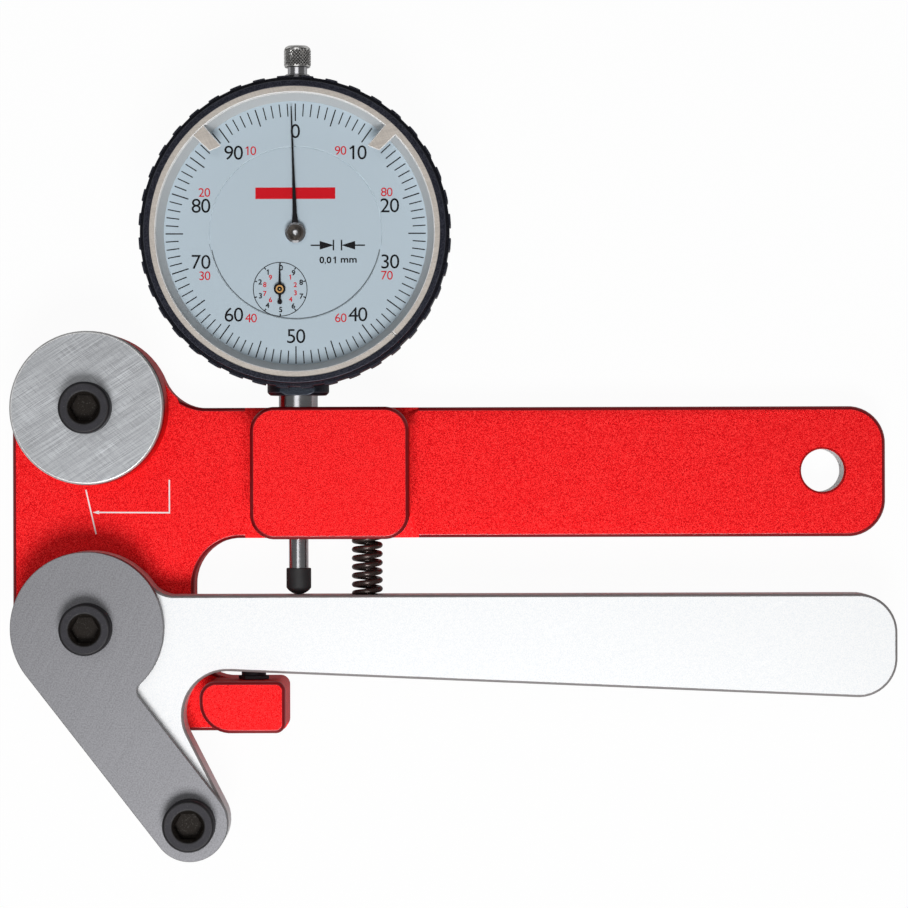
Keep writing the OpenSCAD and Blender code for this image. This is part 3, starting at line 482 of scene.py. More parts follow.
@dataclass(frozen=True)
class TurnedFace(Finish):
    """A turned end face: fine rings about one centre, and a painted sheen that darkens two opposite sectors.
    """

    centre: Spot = (0.0, 0.0)
    roughness: float = 0.3

    def mix(self, g: Graph) -> bpy.types.Material:
        """Builds the nodes.

        Args:
            g: an empty graph.

        Returns:
            The finished material.
        """
        where = g.place(centre=(*self.centre, 0))
        flat = g.value("ShaderNodeVectorMath", {"operation": "MULTIPLY"}, {0: where, 1: (1, 1, 0)})
        radius = g.value("ShaderNodeVectorMath", {"operation": "LENGTH"}, {0: flat}, out="Value")
        apart = g.value("ShaderNodeCombineXYZ", {}, {"X": radius * 9.0})
        rings = g.noise(apart, 2.0).above(0.5, 0.2)
        sides = g.value("ShaderNodeTexGradient", {"gradient_type": "RADIAL"}, {"Vector": flat})
        # two opposite dark sectors: painted sheen, a turned face's reflection painted into its colour
        sheen = (sides * 12.566).wave()
        tone = g.blend(rings, self.shade(0.45), self.shade(1.4))
        return g.close(
            Base_Color=g.blend(sheen * 0.3 + 0.3, tone, self.shade(0.3)),
            Metallic=0.9,
            Roughness=self.roughness + 0.1 * rings,
        )


@dataclass(frozen=True)
class BlackOxide(Finish):
    """Blackened steel: near black with an uneven oily sheen and grey where it is rubbed."""

    roughness: float = 0.36
    rubbed: float = 0.3
    gloss: float = 0.5

    def mix(self, g: Graph) -> bpy.types.Material:
        """Builds the nodes.

        Args:
            g: an empty graph.

        Returns:
            The finished material.
        """
        cloud = g.cells(1.3, 4.0, 0.6)
        speck = g.cells(0.22, 2.0).above(0.66, 0.07)
        tone = g.blend(cloud, self.shade(0.65), self.shade(1.6))
        return g.close(
            Base_Color=g.blend(speck * self.rubbed, tone, (0.34, 0.33, 0.31)),
            Metallic=0.6,
            Roughness=self.roughness + 0.16 * cloud,
            Normal=g.relief(cloud, 0.01),
            Specular_IOR_Level=self.gloss,
        )


@dataclass(frozen=True)
class Enamel(Finish):
    """A printed dial's ground: a pale matt coat with a barely seen mottle."""

    roughness: float = 0.55

    def mix(self, g: Graph) -> bpy.types.Material:
        """Builds the nodes.

        Args:
            g: an empty graph.

        Returns:
            The finished material.
        """
        mottle = g.cells(0.35, 3.0, 0.6)
        cloud = g.cells(16, 1.0)
        tone = g.blend(mottle, self.shade(0.975), self.shade(1.025))
        return g.close(
            Base_Color=g.blend(cloud * 0.25, tone, self.shade(0.94)),
            Metallic=0.0,
            Roughness=self.roughness + 0.1 * mottle,
            Normal=g.relief(mottle, 0.003),
        )


@dataclass(frozen=True)
class Ink(Finish):
    """Printed ink: thin, flat, with slightly uneven cover."""

    roughness: float = 0.5

    def mix(self, g: Graph) -> bpy.types.Material:
        """Builds the nodes.

        Args:
            g: an empty graph.

        Returns:
            The finished material.
        """
        cover = g.cells(0.3, 3.0, 0.6)
        return g.close(
            Base_Color=g.blend(cover, self.shade(0.88), self.shade(1.1)),
            Metallic=0.0,
            Roughness=self.roughness + 0.15 * cover,
            Specular_IOR_Level=0.1,
        )


@dataclass(frozen=True)
class Rubber(Finish):
    """Moulded black rubber with a dusty bloom."""

    def mix(self, g: Graph) -> bpy.types.Material:
        """Builds the nodes.

        Args:
            g: an empty graph.

        Returns:
            The finished material.
        """
        grain = g.cells(0.25, 3.0, 0.6)
        bloom = g.cells(2, 3.0).above(0.55, 0.2)
        return g.close(
            Base_Color=g.blend(bloom * 0.4, self.colour, self.shade(2.2)),
            Metallic=0.0,
            Roughness=0.5 + 0.25 * grain,
            Normal=g.relief(grain, 0.02),
        )


@dataclass(frozen=True)
class Glass(Finish):
    """The clear crystal: nearly unseen but for its reflections and a trace of dust."""

    cover: float = 0.05

    def mix(self, g: Graph) -> bpy.types.Material:
        """Builds the nodes.

        Args:
            g: an empty graph.

        Returns:
            The finished material.
        """
        dust = g.cells(0.4, 3.0).above(0.72, 0.05)
        return g.close(
            Base_Color=self.colour,
            Metallic=0.0,
            Roughness=0.04 + 0.3 * dust,
            Alpha=self.cover + 0.05 * dust,
            IOR=1.5,
            Specular_IOR_Level=0.12,
        )


class Paint(Enum):
    """Every finish on the meter."""

    RED = Anodised(
        "red_anodised", "red_anodised", (0.82, 0.007, 0.011), pit=(0.36, 0.0, 0.002),
        glint=(1.0, 0.06, 0.055), roughness=0.46, metal=0.75, grain=0.16, gloss=0.15,
    )
    # the frame's rounded edges: a dark copy of the red, painted shade along every edge
    RED_EDGE = EdgeCut("red_edge_painted_shade", "red_anodised", (0.3, 0.004, 0.008), 0.3, 0.4, 0.2)
    SILVER = Anodised(
        "silver_anodised", "silver_anodised", (0.94, 0.95, 0.955), pit=(0.84, 0.87, 0.9),
        roughness=0.5, metal=0.25, grain=0.16,
    )
    # the lever's rounded edges: a dark copy of the silver, painted shade along the edges
    SILVER_EDGE = EdgeCut("silver_edge_painted_shade", "silver_anodised", (0.3, 0.28, 0.28), 0.4, 0.15)
    DISC = GroundSteel(
        "ground_disc", "ground_steel", (0.36, 0.37, 0.385), turn=32.0, roughness=0.36, contrast=0.4,
        metal=0.8, line=0.14, across=0.5, cloud=0.5, speck=0.12,
    )
    # the disc's rounded edges: a light copy of the ground steel, painted highlight
    DISC_EDGE = EdgeCut("ground_edge_painted_highlight", "ground_steel", (0.8, 0.8, 0.8), 0.3, 0.4)
    PLATE = GroundSteel(
        "ground_plate", "ground_steel", (0.168, 0.168, 0.178), turn=62.0, roughness=0.4, contrast=0.14,
        across=0.3, cloud=0.15, speck=0.5,
    )
    # the plate's rounded edges: a lighter copy of the plate's steel, painted highlight
    PLATE_EDGE = EdgeCut("plate_edge_painted_highlight", "ground_steel", (0.3, 0.295, 0.3), 0.3, 0.7)
    POST = BlackOxide("black_post", "black_steel", (0.031, 0.03, 0.035), 0.5, 0.12, 0.35)
    POST_EDGE = EdgeCut("post_edge", "black_steel", (0.03, 0.029, 0.031), 0.45, 0.5)
    # the inside of each screw's socket: darker than the screw, painted shade in the recess
    SOCKET = BlackOxide("socket_painted_shade", "black_steel", (0.012, 0.009, 0.007), 0.5, 0.16, 0.3)
    SPRING = BlackOxide("spring_wire", "spring_steel", (0.05, 0.034, 0.03), 0.2, 0.3, 0.8)
    FINE_SPRING = TurnedMetal("fine_spring_wire", "spring_steel", (0.42, 0.42, 0.44))
    CHROME = TurnedMetal("bright_steel", "bright_steel", (0.62, 0.62, 0.64), (40, 0.12, 40), 0.1)
    CAP = TurnedMetal("cap_steel", "bright_steel", (0.92, 0.9, 0.86), (2, 0.3, 2), 0.22, 0.2)
    STEEL = TurnedMetal("plain_steel", "plain_steel", (0.5, 0.5, 0.51), (3, 0.2, 3), 0.3)
    HUB = TurnedFace("hub_face", "bright_steel", (0.1, 0.086, 0.075), GAUGE_AXIS, 0.16)
    BRONZE = TurnedMetal("bronze", "bronze", (0.5, 0.29, 0.11), (3, 0.2, 3), 0.34)
    BRASS = TurnedMetal("movement_brass", "movement_brass", (0.62, 0.47, 0.2), (6, 0.2, 6), 0.26)
    CASE = Anodised(
        "case_dark", "gauge_dark", (0.026, 0.032, 0.044), pit=(0.014, 0.018, 0.026),
        glint=(0.05, 0.06, 0.075), metal=0.8,
    )
    # the case's rounded edges: a lighter copy of the case colour, painted highlight
    CASE_EDGE = EdgeCut("case_edge_painted_highlight", "gauge_dark", (0.06, 0.068, 0.09), 0.3, 0.4)
    BEZEL = Anodised(
        "bezel_black", "bezel_black", (0.018, 0.019, 0.028), pit=(0.008, 0.009, 0.014),
        glint=(0.04, 0.042, 0.055), roughness=0.45, metal=0.85,
    )
    # the bezel's rounded edges: a lighter copy of the bezel colour, painted highlight
    BEZEL_EDGE = EdgeCut("bezel_edge_painted_highlight", "bezel_black", (0.045, 0.05, 0.07), 0.3, 0.4)
    RING = GroundSteel(
        "scale_silver", "scale_silver", (0.5, 0.455, 0.41), turn=12.0, roughness=0.42, contrast=0.12,
        metal=0.4, line=0.2, across=0.6, cloud=0.15,
    )
    # the markers' and slope's rounded edges: near white, painted highlight
    RING_EDGE = EdgeCut("scale_edge_painted_highlight", "scale_silver", (0.95, 0.94, 0.92), 0.3, 0.0)
    SLOPE = Enamel("slope_silver", "scale_silver", (0.62, 0.64, 0.65), 0.4)
    DIAL = Enamel("dial_face", "dial_face", (0.55, 0.66, 0.74))
    # the outer dial's rounded inner edge: a paler copy of the dial, painted highlight
    DIAL_EDGE = Enamel("dial_edge_painted_highlight", "dial_face", (0.66, 0.77, 0.84))
    BLACK_INK = Ink("black_ink", "pointer_black", (0.008, 0.008, 0.010))
    RED_INK = Ink("red_ink", "red_anodised", (0.72, 0.004, 0.014))
    WHITE_INK = Ink("white_ink", "silver_anodised", (1.0, 0.97, 0.97))
    POINTER = Ink("pointer_black", "pointer_black", (0.007, 0.006, 0.008), 0.42)
    BORE = EdgeCut("bore_bare", "silver_anodised", (0.96, 0.96, 0.96), 0.4, 0.0)
    # the lower right side of each knurl point: dark, painted shade
    GROOVE = EdgeCut("knurl_painted_shade", "bright_steel", (0.1, 0.09, 0.08), 0.3, 0.8)
    NECK = TurnedMetal("neck_steel", "plain_steel", (0.1, 0.1, 0.105), (3, 0.2, 3), 0.15)
    # the dial step's lower half: dark grey, painted shade
    STEP = Ink("step_painted_shade", "dial_face", (0.13, 0.155, 0.175), 0.6)
    CRYSTAL = Glass("crystal_clear", "crystal_clear", (0.05, 0.055, 0.06), 0.02)
    RUBBER = Rubber("rubber_black", "rubber_black", (0.012, 0.012, 0.013))


# ------------------------------------------------------------------- workbench


def metres(spot: Sequence[float]) -> Vector:
    """A point in millimetres as a vector in metres."""
    return Vector(spot) * MM


def deselect() -> None:
    """Leaves edit mode and deselects all objects."""
    if bpy.context.object and bpy.context.object.mode != "OBJECT":
        bpy.ops.object.mode_set(mode="OBJECT")
    bpy.ops.object.select_all(action="DESELECT")


def pick(*objs: bpy.types.Object) -> None:
    """Selects objects and makes the first the active one."""
    deselect()
    for obj in objs:
        obj.select_set(True)
    bpy.context.view_layer.objects.active = objs[0]


def settle(obj: bpy.types.Object) -> None:
    """Works a piece's place, turn and size into its mesh."""
    pick(obj)
    bpy.ops.object.transform_apply(location=True, rotation=True, scale=True)


def coat(obj: bpy.types.Object, paint: Paint) -> None:
    """Gives a piece one more finish."""
    obj.data.materials.append(paint.value.material())


def within(at: Vector, centre: Spot, reach: float) -> bool:
    """Whether a point is less than a distance away from an axis along Z."""
    return (at.xy - Vector(centre)).length < reach


def face_outwards() -> None:
    """Turns the faces being edited outwards and leaves edit mode."""
    bpy.ops.mesh.select_all(action="SELECT")
    bpy.ops.mesh.normals_make_consistent(inside=False)
    bpy.ops.object.mode_set(mode="OBJECT")


def close_wire(merge: float) -> None:
    """Merges the wire being edited, closes its open ends and shades it round.

    Args:
        merge: how near vertices are that become one, in millimetres.
    """
    bpy.ops.mesh.select_all(action="SELECT")
    bpy.ops.mesh.remove_doubles(threshold=merge * MM)
    bpy.ops.mesh.select_all(action="DESELECT")
    bpy.ops.mesh.select_mode(type="EDGE")
    bpy.ops.mesh.select_non_manifold()
    bpy.ops.mesh.fill_holes(sides=0)
    face_outwards()
    bpy.ops.object.shade_smooth_by_angle(angle=math.radians(50))


def select_where(test: Callable[[bmesh.types.BMVert], bool]) -> None:
    """Selects vertices by their place, in edit mode.

    Args:
        test: says whether a vertex is wanted.
    """
    mesh = bmesh.from_edit_mesh(bpy.context.object.data)
    for vert in mesh.verts:
        vert.select_set(test(vert))
    mesh.select_flush(True)
    mesh.select_flush(False)
    bmesh.update_edit_mesh(bpy.context.object.data)


def select_edges(test: Callable[[bmesh.types.BMEdge], bool]) -> int:
    """Selects edges in edit mode.

    Args:
        test: says whether an edge is wanted.

    Returns:
        How many were selected.
    """
    bpy.ops.mesh.select_mode(type="EDGE")
    mesh = bmesh.from_edit_mesh(bpy.context.object.data)
    for face in mesh.faces:
        face.select_set(False)
    found = [edge for edge in mesh.edges if test(edge)]
    for edge in mesh.edges:
        edge.select_set(False)
    for edge in found:
        edge.select_set(True)
    bmesh.update_edit_mesh(bpy.context.object.data)
    return len(found)


class Workshop:
    """The shared ways of working a piece, which every sub-assembly inherits."""

    def copy_of(self, node: str, name: str) -> bpy.types.Object:
        """A merged copy of a CAD node, in edit mode, all selected.

        Args:
            node: the CAD node.
            name: the new piece's name.

        Returns:
            The copy.
        """
        obj = bpy.data.objects.new(name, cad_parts[node].data.copy())
        bpy.context.scene.collection.objects.link(obj)
        obj.data.materials.clear()
        pick(obj)
        bpy.ops.mesh.customdata_custom_splitnormals_clear()
        bpy.ops.object.mode_set(mode="EDIT")
        bpy.ops.mesh.select_all(action="SELECT")
        bpy.ops.mesh.remove_doubles(threshold=0.004 * MM)
        bpy.ops.mesh.dissolve_limited(angle_limit=math.radians(0.6))
        return obj

    def soften(
        self,
        node: str,
        body: Body,
        face: Paint,
        edge: Paint,
        width: float,
        segments: int = 2,
        spare: Callable[[Vector], bool] | None = None,
        cuts: Sequence[tuple[Point, Point]] = (),
    ) -> bpy.types.Object:
        """Replaces a CAD node by a copy whose sharp outer edges are rounded.

        Args:
            node: the CAD node.
            body: what it rides on.
            face: finish of its faces.
            edge: finish of the rounded edges, mostly painted highlight or painted shade.
            width: width of the rounding, in millimetres.
            segments: facets over the rounding.
            spare: says of an edge's middle, in millimetres, whether it stays sharp.
            cuts: planes, by point and normal, that part the edges of the faces below the point
                where their rounding ends.

        Returns:
            The piece.
        """
        obj = self.copy_of(node, f"{node}_finished")
        bpy.ops.mesh.select_mode(type="FACE")
        for point, normal in cuts:
            mesh = bmesh.from_edit_mesh(obj.data)
            for each in mesh.faces:
                each.select_set(all(v.co.z < (point[2] + 0.02) * MM for v in each.verts))
            bmesh.update_edit_mesh(obj.data)
            bpy.ops.mesh.bisect(plane_co=metres(point), plane_no=normal)

        def sharp(e: bmesh.types.BMEdge) -> bool:
            """Whether an edge is an outer corner that gets rounded."""
            if len(e.link_faces) != 2 or not e.is_convex or e.calc_face_angle() < math.radians(38):
                return False
            middle = (e.verts[0].co + e.verts[1].co) / 2 / MM
            return not (spare and spare(middle))

        count = select_edges(sharp)
        coat(obj, face)
        coat(obj, edge)
        if count:
            bpy.ops.mesh.bevel(
                offset=width * MM, segments=segments, profile=0.34, affect="EDGES",
                clamp_overlap=False, material=1,
            )
        self.round_off(obj, 32)
        return self.deliver(obj, body, face, node)

    def round_off(self, obj: bpy.types.Object, angle: float = 35.0) -> None:
        """Shades a piece smooth up to an angle and lets its large faces lead.

        Args:
            obj: the piece.
            angle: edges above this many degrees stay sharp.
        """
        pick(obj)
        bpy.ops.object.shade_smooth_by_angle(angle=math.radians(angle))
        lead = obj.modifiers.new("lead", "WEIGHTED_NORMAL")
        lead.keep_sharp = True
        lead.weight = 90
        bpy.ops.object.modifier_apply(modifier=lead.name)

    def deliver(self, obj: bpy.types.Object, body: Body, finish: Paint, *nodes: str) -> bpy.types.Object:
        """Puts a finished piece on its body.

        Args:
            obj: the piece, in place.
            body: what it rides on.
            finish: its main finish.
            nodes: the CAD nodes that it stands for.

        Returns:
            The piece.
        """
        settle(obj)
        if not obj.data.materials:
            coat(obj, finish)
        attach(obj, body.value)
        if nodes:
            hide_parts(*nodes)
        log.info("%s: %d faces on %s", obj.name, len(obj.data.polygons), body.value)
        return obj

    def keep(self, finish: Paint, *nodes: str) -> None:
        """Gives CAD nodes that stay as they are their finish.

        Args:
            finish: the finish.
            nodes: the CAD nodes.
        """
        for node in nodes:
            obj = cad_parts[node]
            obj.data.materials.clear()
            coat(obj, finish)
            log.info("%s: kept, %s", node, finish.value.name)

    def lathe(
        self, name: str, profile: Sequence[Spot], centre: Point, axis: str = "Z", sides: int = 64
    ) -> bpy.types.Object:
        """Turns a closed piece: a circle that is extruded and scaled from step to step.

        Args:
            name: the piece's name.
            profile: radius and height of each step, in millimetres, from the low end to the high end.
            centre: where height 0 of the axis lies.
            axis: "Z" or "Y", the axis's direction.
            sides: facets round the axis.

        Returns:
            The piece, in object mode.
        """
        deselect()
        first = profile[0]
        bpy.ops.mesh.primitive_circle_add(
            vertices=sides, radius=first[0] * MM, fill_type="NGON", location=(0, 0, first[1] * MM)
        )
        obj = bpy.context.object
        obj.name = name
        bpy.ops.object.mode_set(mode="EDIT")
        bpy.ops.mesh.select_all(action="SELECT")
        at = list(first)
        for radius, height in profile[1:]:
            bpy.ops.mesh.extrude_region_move(TRANSFORM_OT_translate={"value": (0, 0, (height - at[1]) * MM)})
            ratio = radius / at[0]
            bpy.ops.transform.resize(value=(ratio, ratio, 1), center_override=(0, 0, height * MM))
            at = [radius, height]
        face_outwards()
        settle(obj)
        if axis == "Y":
            obj.rotation_euler = (math.radians(-90), 0, 0)
        obj.location = metres(centre)
        settle(obj)
        return obj

    def band(
        self, name: str, centre: Point, outer: float, inner: float, rise: float, sides: int = 128
    ) -> bpy.types.Object:
        """A flat ring.

        Args:
            name: the piece's name.
            centre: its centre on its lower face.
            outer: outer radius.
            inner: inner radius.
            rise: thickness.
            sides: facets round it.

        Returns:
            The ring, in object mode.
        """
        deselect()
        bpy.ops.mesh.primitive_circle_add(
            vertices=sides, radius=outer * MM, fill_type="NOTHING", location=metres(centre)
        )
        obj = bpy.context.object
        obj.name = name
        settle(obj)
        bpy.ops.object.mode_set(mode="EDIT")
        bpy.ops.mesh.select_all(action="SELECT")
        bpy.ops.mesh.extrude_edges_move()
        ratio = inner / outer
        bpy.ops.transform.resize(value=(ratio, ratio, 1), center_override=metres(centre))
        self.thicken(rise)
        return obj

    def thicken(self, rise: float) -> None:
        """Gives the flat faces being edited a thickness along Z, closed all round, and leaves edit mode.

        Args:
            rise: the thickness.
        """
        bpy.ops.mesh.select_all(action="SELECT")
        bpy.ops.mesh.extrude_region_move(TRANSFORM_OT_translate={"value": (0, 0, rise * MM)})
        face_outwards()

    def strip(
        self, name: str, start: Spot, end: Spot, level: float, width: float, rise: float, taper: float = 1.0
    ) -> bpy.types.Object:
        """A flat bar from one point to another.

        Args:
            name: the piece's name.
            start: middle of its first end.
            end: middle of its second end.
            level: height of its lower face.
            width: width at the first end.
            rise: thickness.
            taper: width of the second end as a share of the first.

        Returns:
            The bar, in object mode.
        """
        span = Vector((end[0] - start[0], end[1] - start[1]))
        deselect()
        bpy.ops.mesh.primitive_plane_add(size=1)
        obj = bpy.context.object
        obj.name = name
        obj.scale = (span.length * MM, width * MM, 1)
        bpy.ops.object.transform_apply(scale=True)
        bpy.ops.object.mode_set(mode="EDIT")
        if taper != 1.0:
            select_where(lambda v: v.co.x > 0)
            bpy.ops.transform.resize(value=(1, max(taper, 0.001), 1), center_override=(0, 0, 0))
        self.thicken(rise)
        obj.rotation_euler = (0, 0, math.atan2(span.y, span.x))
        obj.location = metres(((start[0] + end[0]) / 2, (start[1] + end[1]) / 2, level))
        settle(obj)
        return obj

    def repeat_round(self, obj: bpy.types.Object, centre: Spot, count: int, total: float = 360.0) -> None:
        """Copies a piece's mesh round a centre, within the piece.

        Args:
            obj: the piece.
            centre: the centre, in millimetres.
            count: how many there are in all.
            total: the angle that they share.
        """
        pick(obj)
        bpy.ops.object.mode_set(mode="EDIT")
        bpy.ops.mesh.select_all(action="SELECT")
        bpy.ops.mesh.spin(
            steps=count, dupli=True, angle=math.radians(total), center=metres((*centre, 0)), axis=(0, 0, 1)
        )
        bpy.ops.mesh.select_all(action="SELECT")
        bpy.ops.mesh.remove_doubles(threshold=0.0005 * MM)
        face_outwards()

    def write(
        self, words: str, centre: Point, height: float, width: float | None = None, heavy: float = 0.0
    ) -> bpy.types.Object:
        """Plain characters as a thin mesh.

        Args:
            words: the characters.
            centre: the middle of their box, on its lower face.
            height: height of a digit.
            width: width of them all, or None for the type's own.
            heavy: how far the strokes are thickened by printing them again beside themselves.

        Returns:
            The characters, in object mode.
        """
        deselect()
        bpy.ops.object.text_add()
        obj = bpy.context.object
        obj.data.body = words
        obj.data.size = 1.0
        obj.data.resolution_u = 4
        bpy.ops.object.convert(target="MESH")
        size = Vector(obj.dimensions)
        low = Vector([min(v.co[i] for v in obj.data.vertices) for i in range(3)])
        scale = height * MM / DIGIT_HEIGHT
        stretch = width * MM / (size.x * scale) if width else DIGIT_STRETCH
        obj.scale = (scale * stretch, scale, 1)
        obj.location = metres(centre) - Vector(
            ((low.x + size.x / 2) * scale * stretch, (low.y + size.y / 2) * scale, 0)
        )
        settle(obj)
        bpy.ops.object.mode_set(mode="EDIT")
        bpy.ops.mesh.select_all(action="SELECT")
        bpy.ops.mesh.remove_doubles(threshold=0.001 * MM)
        bpy.ops.mesh.dissolve_limited(angle_limit=math.radians(1))
        for across, up in ((heavy, 0), (0, heavy), (-heavy, 0)) if heavy else ():
            bpy.ops.mesh.duplicate_move(TRANSFORM_OT_translate={"value": metres((across, up, HEAVY_RISE))})
        bpy.ops.mesh.select_all(action="SELECT")
        self.thicken(INK_RISE)
        return obj

    def number(self, digits: str, centre: Point, height: float, heavy: float = 0.0) -> list[bpy.types.Object]:
        """A number of even pitch, with a flag on each 1.

        Args:
            digits: the number.
            centre: its middle, on its lower face.
            height: height of a digit.
            heavy: how far the strokes are thickened by printing them again beside themselves.

        Returns:
            Its digits.
        """
        parts = []
        _, y, z = centre
        for k, digit in enumerate(digits):
            x = centre[0] + (k - (len(digits) - 1) / 2) * DIGIT_PITCH * height
            if digit == "1":
                x += 0.06 * height
                top = (x + 0.02 * height, y + 0.46 * height)
                foot = (x - 0.26 * height, y + 0.25 * height)
                parts.append(self.strip("flag", top, foot, z, 0.11 * height + heavy, INK_RISE))
            parts.append(self.write(digit, (x, y, z), height, None, heavy))
        return parts

    def numbers(
        self, places: Iterable[Place], centre: Point, height: float, heavy: float = 0.0
    ) -> list[bpy.types.Object]:
        """Several numbers about one centre.

        Args:
            places: each number with its place from the centre.
            centre: the centre, on their lower face.
            height: height of a digit.
            heavy: how far the strokes are thickened by printing them again beside themselves.

        Returns:
            Their digits.
        """
        x, y, z = centre
        return [d for text, dx, dy in places for d in self.number(text, (x + dx, y + dy, z), height, heavy)]

    def blade(self, name: str, steps: Sequence[Spot], rise: float) -> bpy.types.Object:
        """A flat blade along Y, an edge drawn out and narrowed from step to step.

        Args:
            name: the piece's name.
            steps: distance from the pivot and width of each step.
            rise: thickness.

        Returns:
            The blade, in object mode, with the pivot at the origin.
        """
        (start, width), (at, second) = steps[:2]
        deselect()
        bpy.ops.mesh.primitive_plane_add(size=1, location=(0, (start + at) / 2 * MM, 0))
        obj = bpy.context.object
        obj.name = name
        obj.scale = (width * MM, (at - start) * MM, 1)
        bpy.ops.object.transform_apply(location=True, scale=True)
        bpy.ops.object.mode_set(mode="EDIT")
        bpy.ops.mesh.select_mode(type="VERT")
        select_where(lambda v: v.co.y > (start + at) / 2 * MM)
        bpy.ops.transform.resize(value=(second / width, 1, 1), center_override=(0, 0, 0))
        width = second
        for reach, wide in steps[2:]:
            bpy.ops.mesh.extrude_region_move(TRANSFORM_OT_translate={"value": (0, (reach - at) * MM, 0)})
            bpy.ops.transform.resize(value=(wide / width, 1, 1), center_override=(0, 0, 0))
            at, width = reach, wide
        self.thicken(rise)
        return obj

    def stain(self, obj: bpy.types.Object, finish: Paint, test: Callable[[Vector], bool]) -> None:
        """Gives some of a piece's faces another finish.

        Args:
            obj: the piece.
            finish: the other finish.
            test: says of a face's middle, in millimetres, whether it gets it.
        """
        coat(obj, finish)
        for face in obj.data.polygons:
            if test(face.center / MM):
                face.material_index = len(obj.data.materials) - 1

    def screw(self, node: str, body: Body, centre: Spot) -> None:
        """Rounds a socket head screw and paints shade inside its socket.

        Args:
            node: the CAD node.
            body: what it rides on.
            centre: the screw's axis.
        """
        post = self.soften(node, body, Paint.POST, Paint.POST_EDGE, 0.16)
        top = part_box(node)[1].z / MM - 0.05
        depth, reach = 4.0, 3.3
        # painted shade inside the socket
        self.stain(post, Paint.SOCKET, lambda at: top - depth < at.z < top and within(at, centre, reach))

    def unite(self, name: str, parts: Sequence[bpy.types.Object]) -> bpy.types.Object:
        """Joins pieces into one object.

        Args:
            name: its name.
            parts: the pieces.

        Returns:
            The joined object.
        """
        pick(*parts)
        if len(parts) > 1:
            bpy.ops.object.join()
        parts[0].name = name
        return parts[0]

    def coil(
        self, name: str, foot: Point, radius: float, wire: float, runs: Sequence[Spot]
    ) -> bpy.types.Object:
        """A round wire wound about an axis along Y, with closed ends.

        Args:
            name: the piece's name.
            foot: where the axis meets the first turn's wire.
            radius: radius of the wire's middle line.
            wire: the wire's radius.
            runs: turns and rise of each run, one after the other.

        Returns:
            The coil, in object mode.
        """
        parts = []
        turned = risen = 0.0
        for turns, rise in runs:
            deselect()
            bpy.ops.mesh.primitive_circle_add(
                vertices=12, radius=wire * MM, fill_type="NOTHING", location=(radius * MM, 0, 0)
            )
            obj = bpy.context.object
            bpy.ops.object.transform_apply(location=True)
            wind = obj.modifiers.new("wind", "SCREW")
            wind.axis = "Y"
            wind.angle = math.radians(360 * turns)
            wind.screw_offset = rise * MM
            wind.steps = wind.render_steps = max(8, round(28 * turns))
            wind.use_merge_vertices = True
            wind.merge_threshold = 1e-7
            bpy.ops.object.modifier_apply(modifier=wind.name)
            spot = Matrix.Translation(metres((foot[0], foot[1] + risen, foot[2])))
            obj.matrix_world = spot @ Matrix.Rotation(math.radians(turned), 4, "Y")
            settle(obj)
            parts.append(obj)
            turned += 360 * turns
            risen += rise
        coil = self.unite(name, parts)
        pick(coil)
        bpy.ops.object.mode_set(mode="EDIT")
        close_wire(0.004)
        return coil


# ---------------------------------------------------------------- sub-assemblies


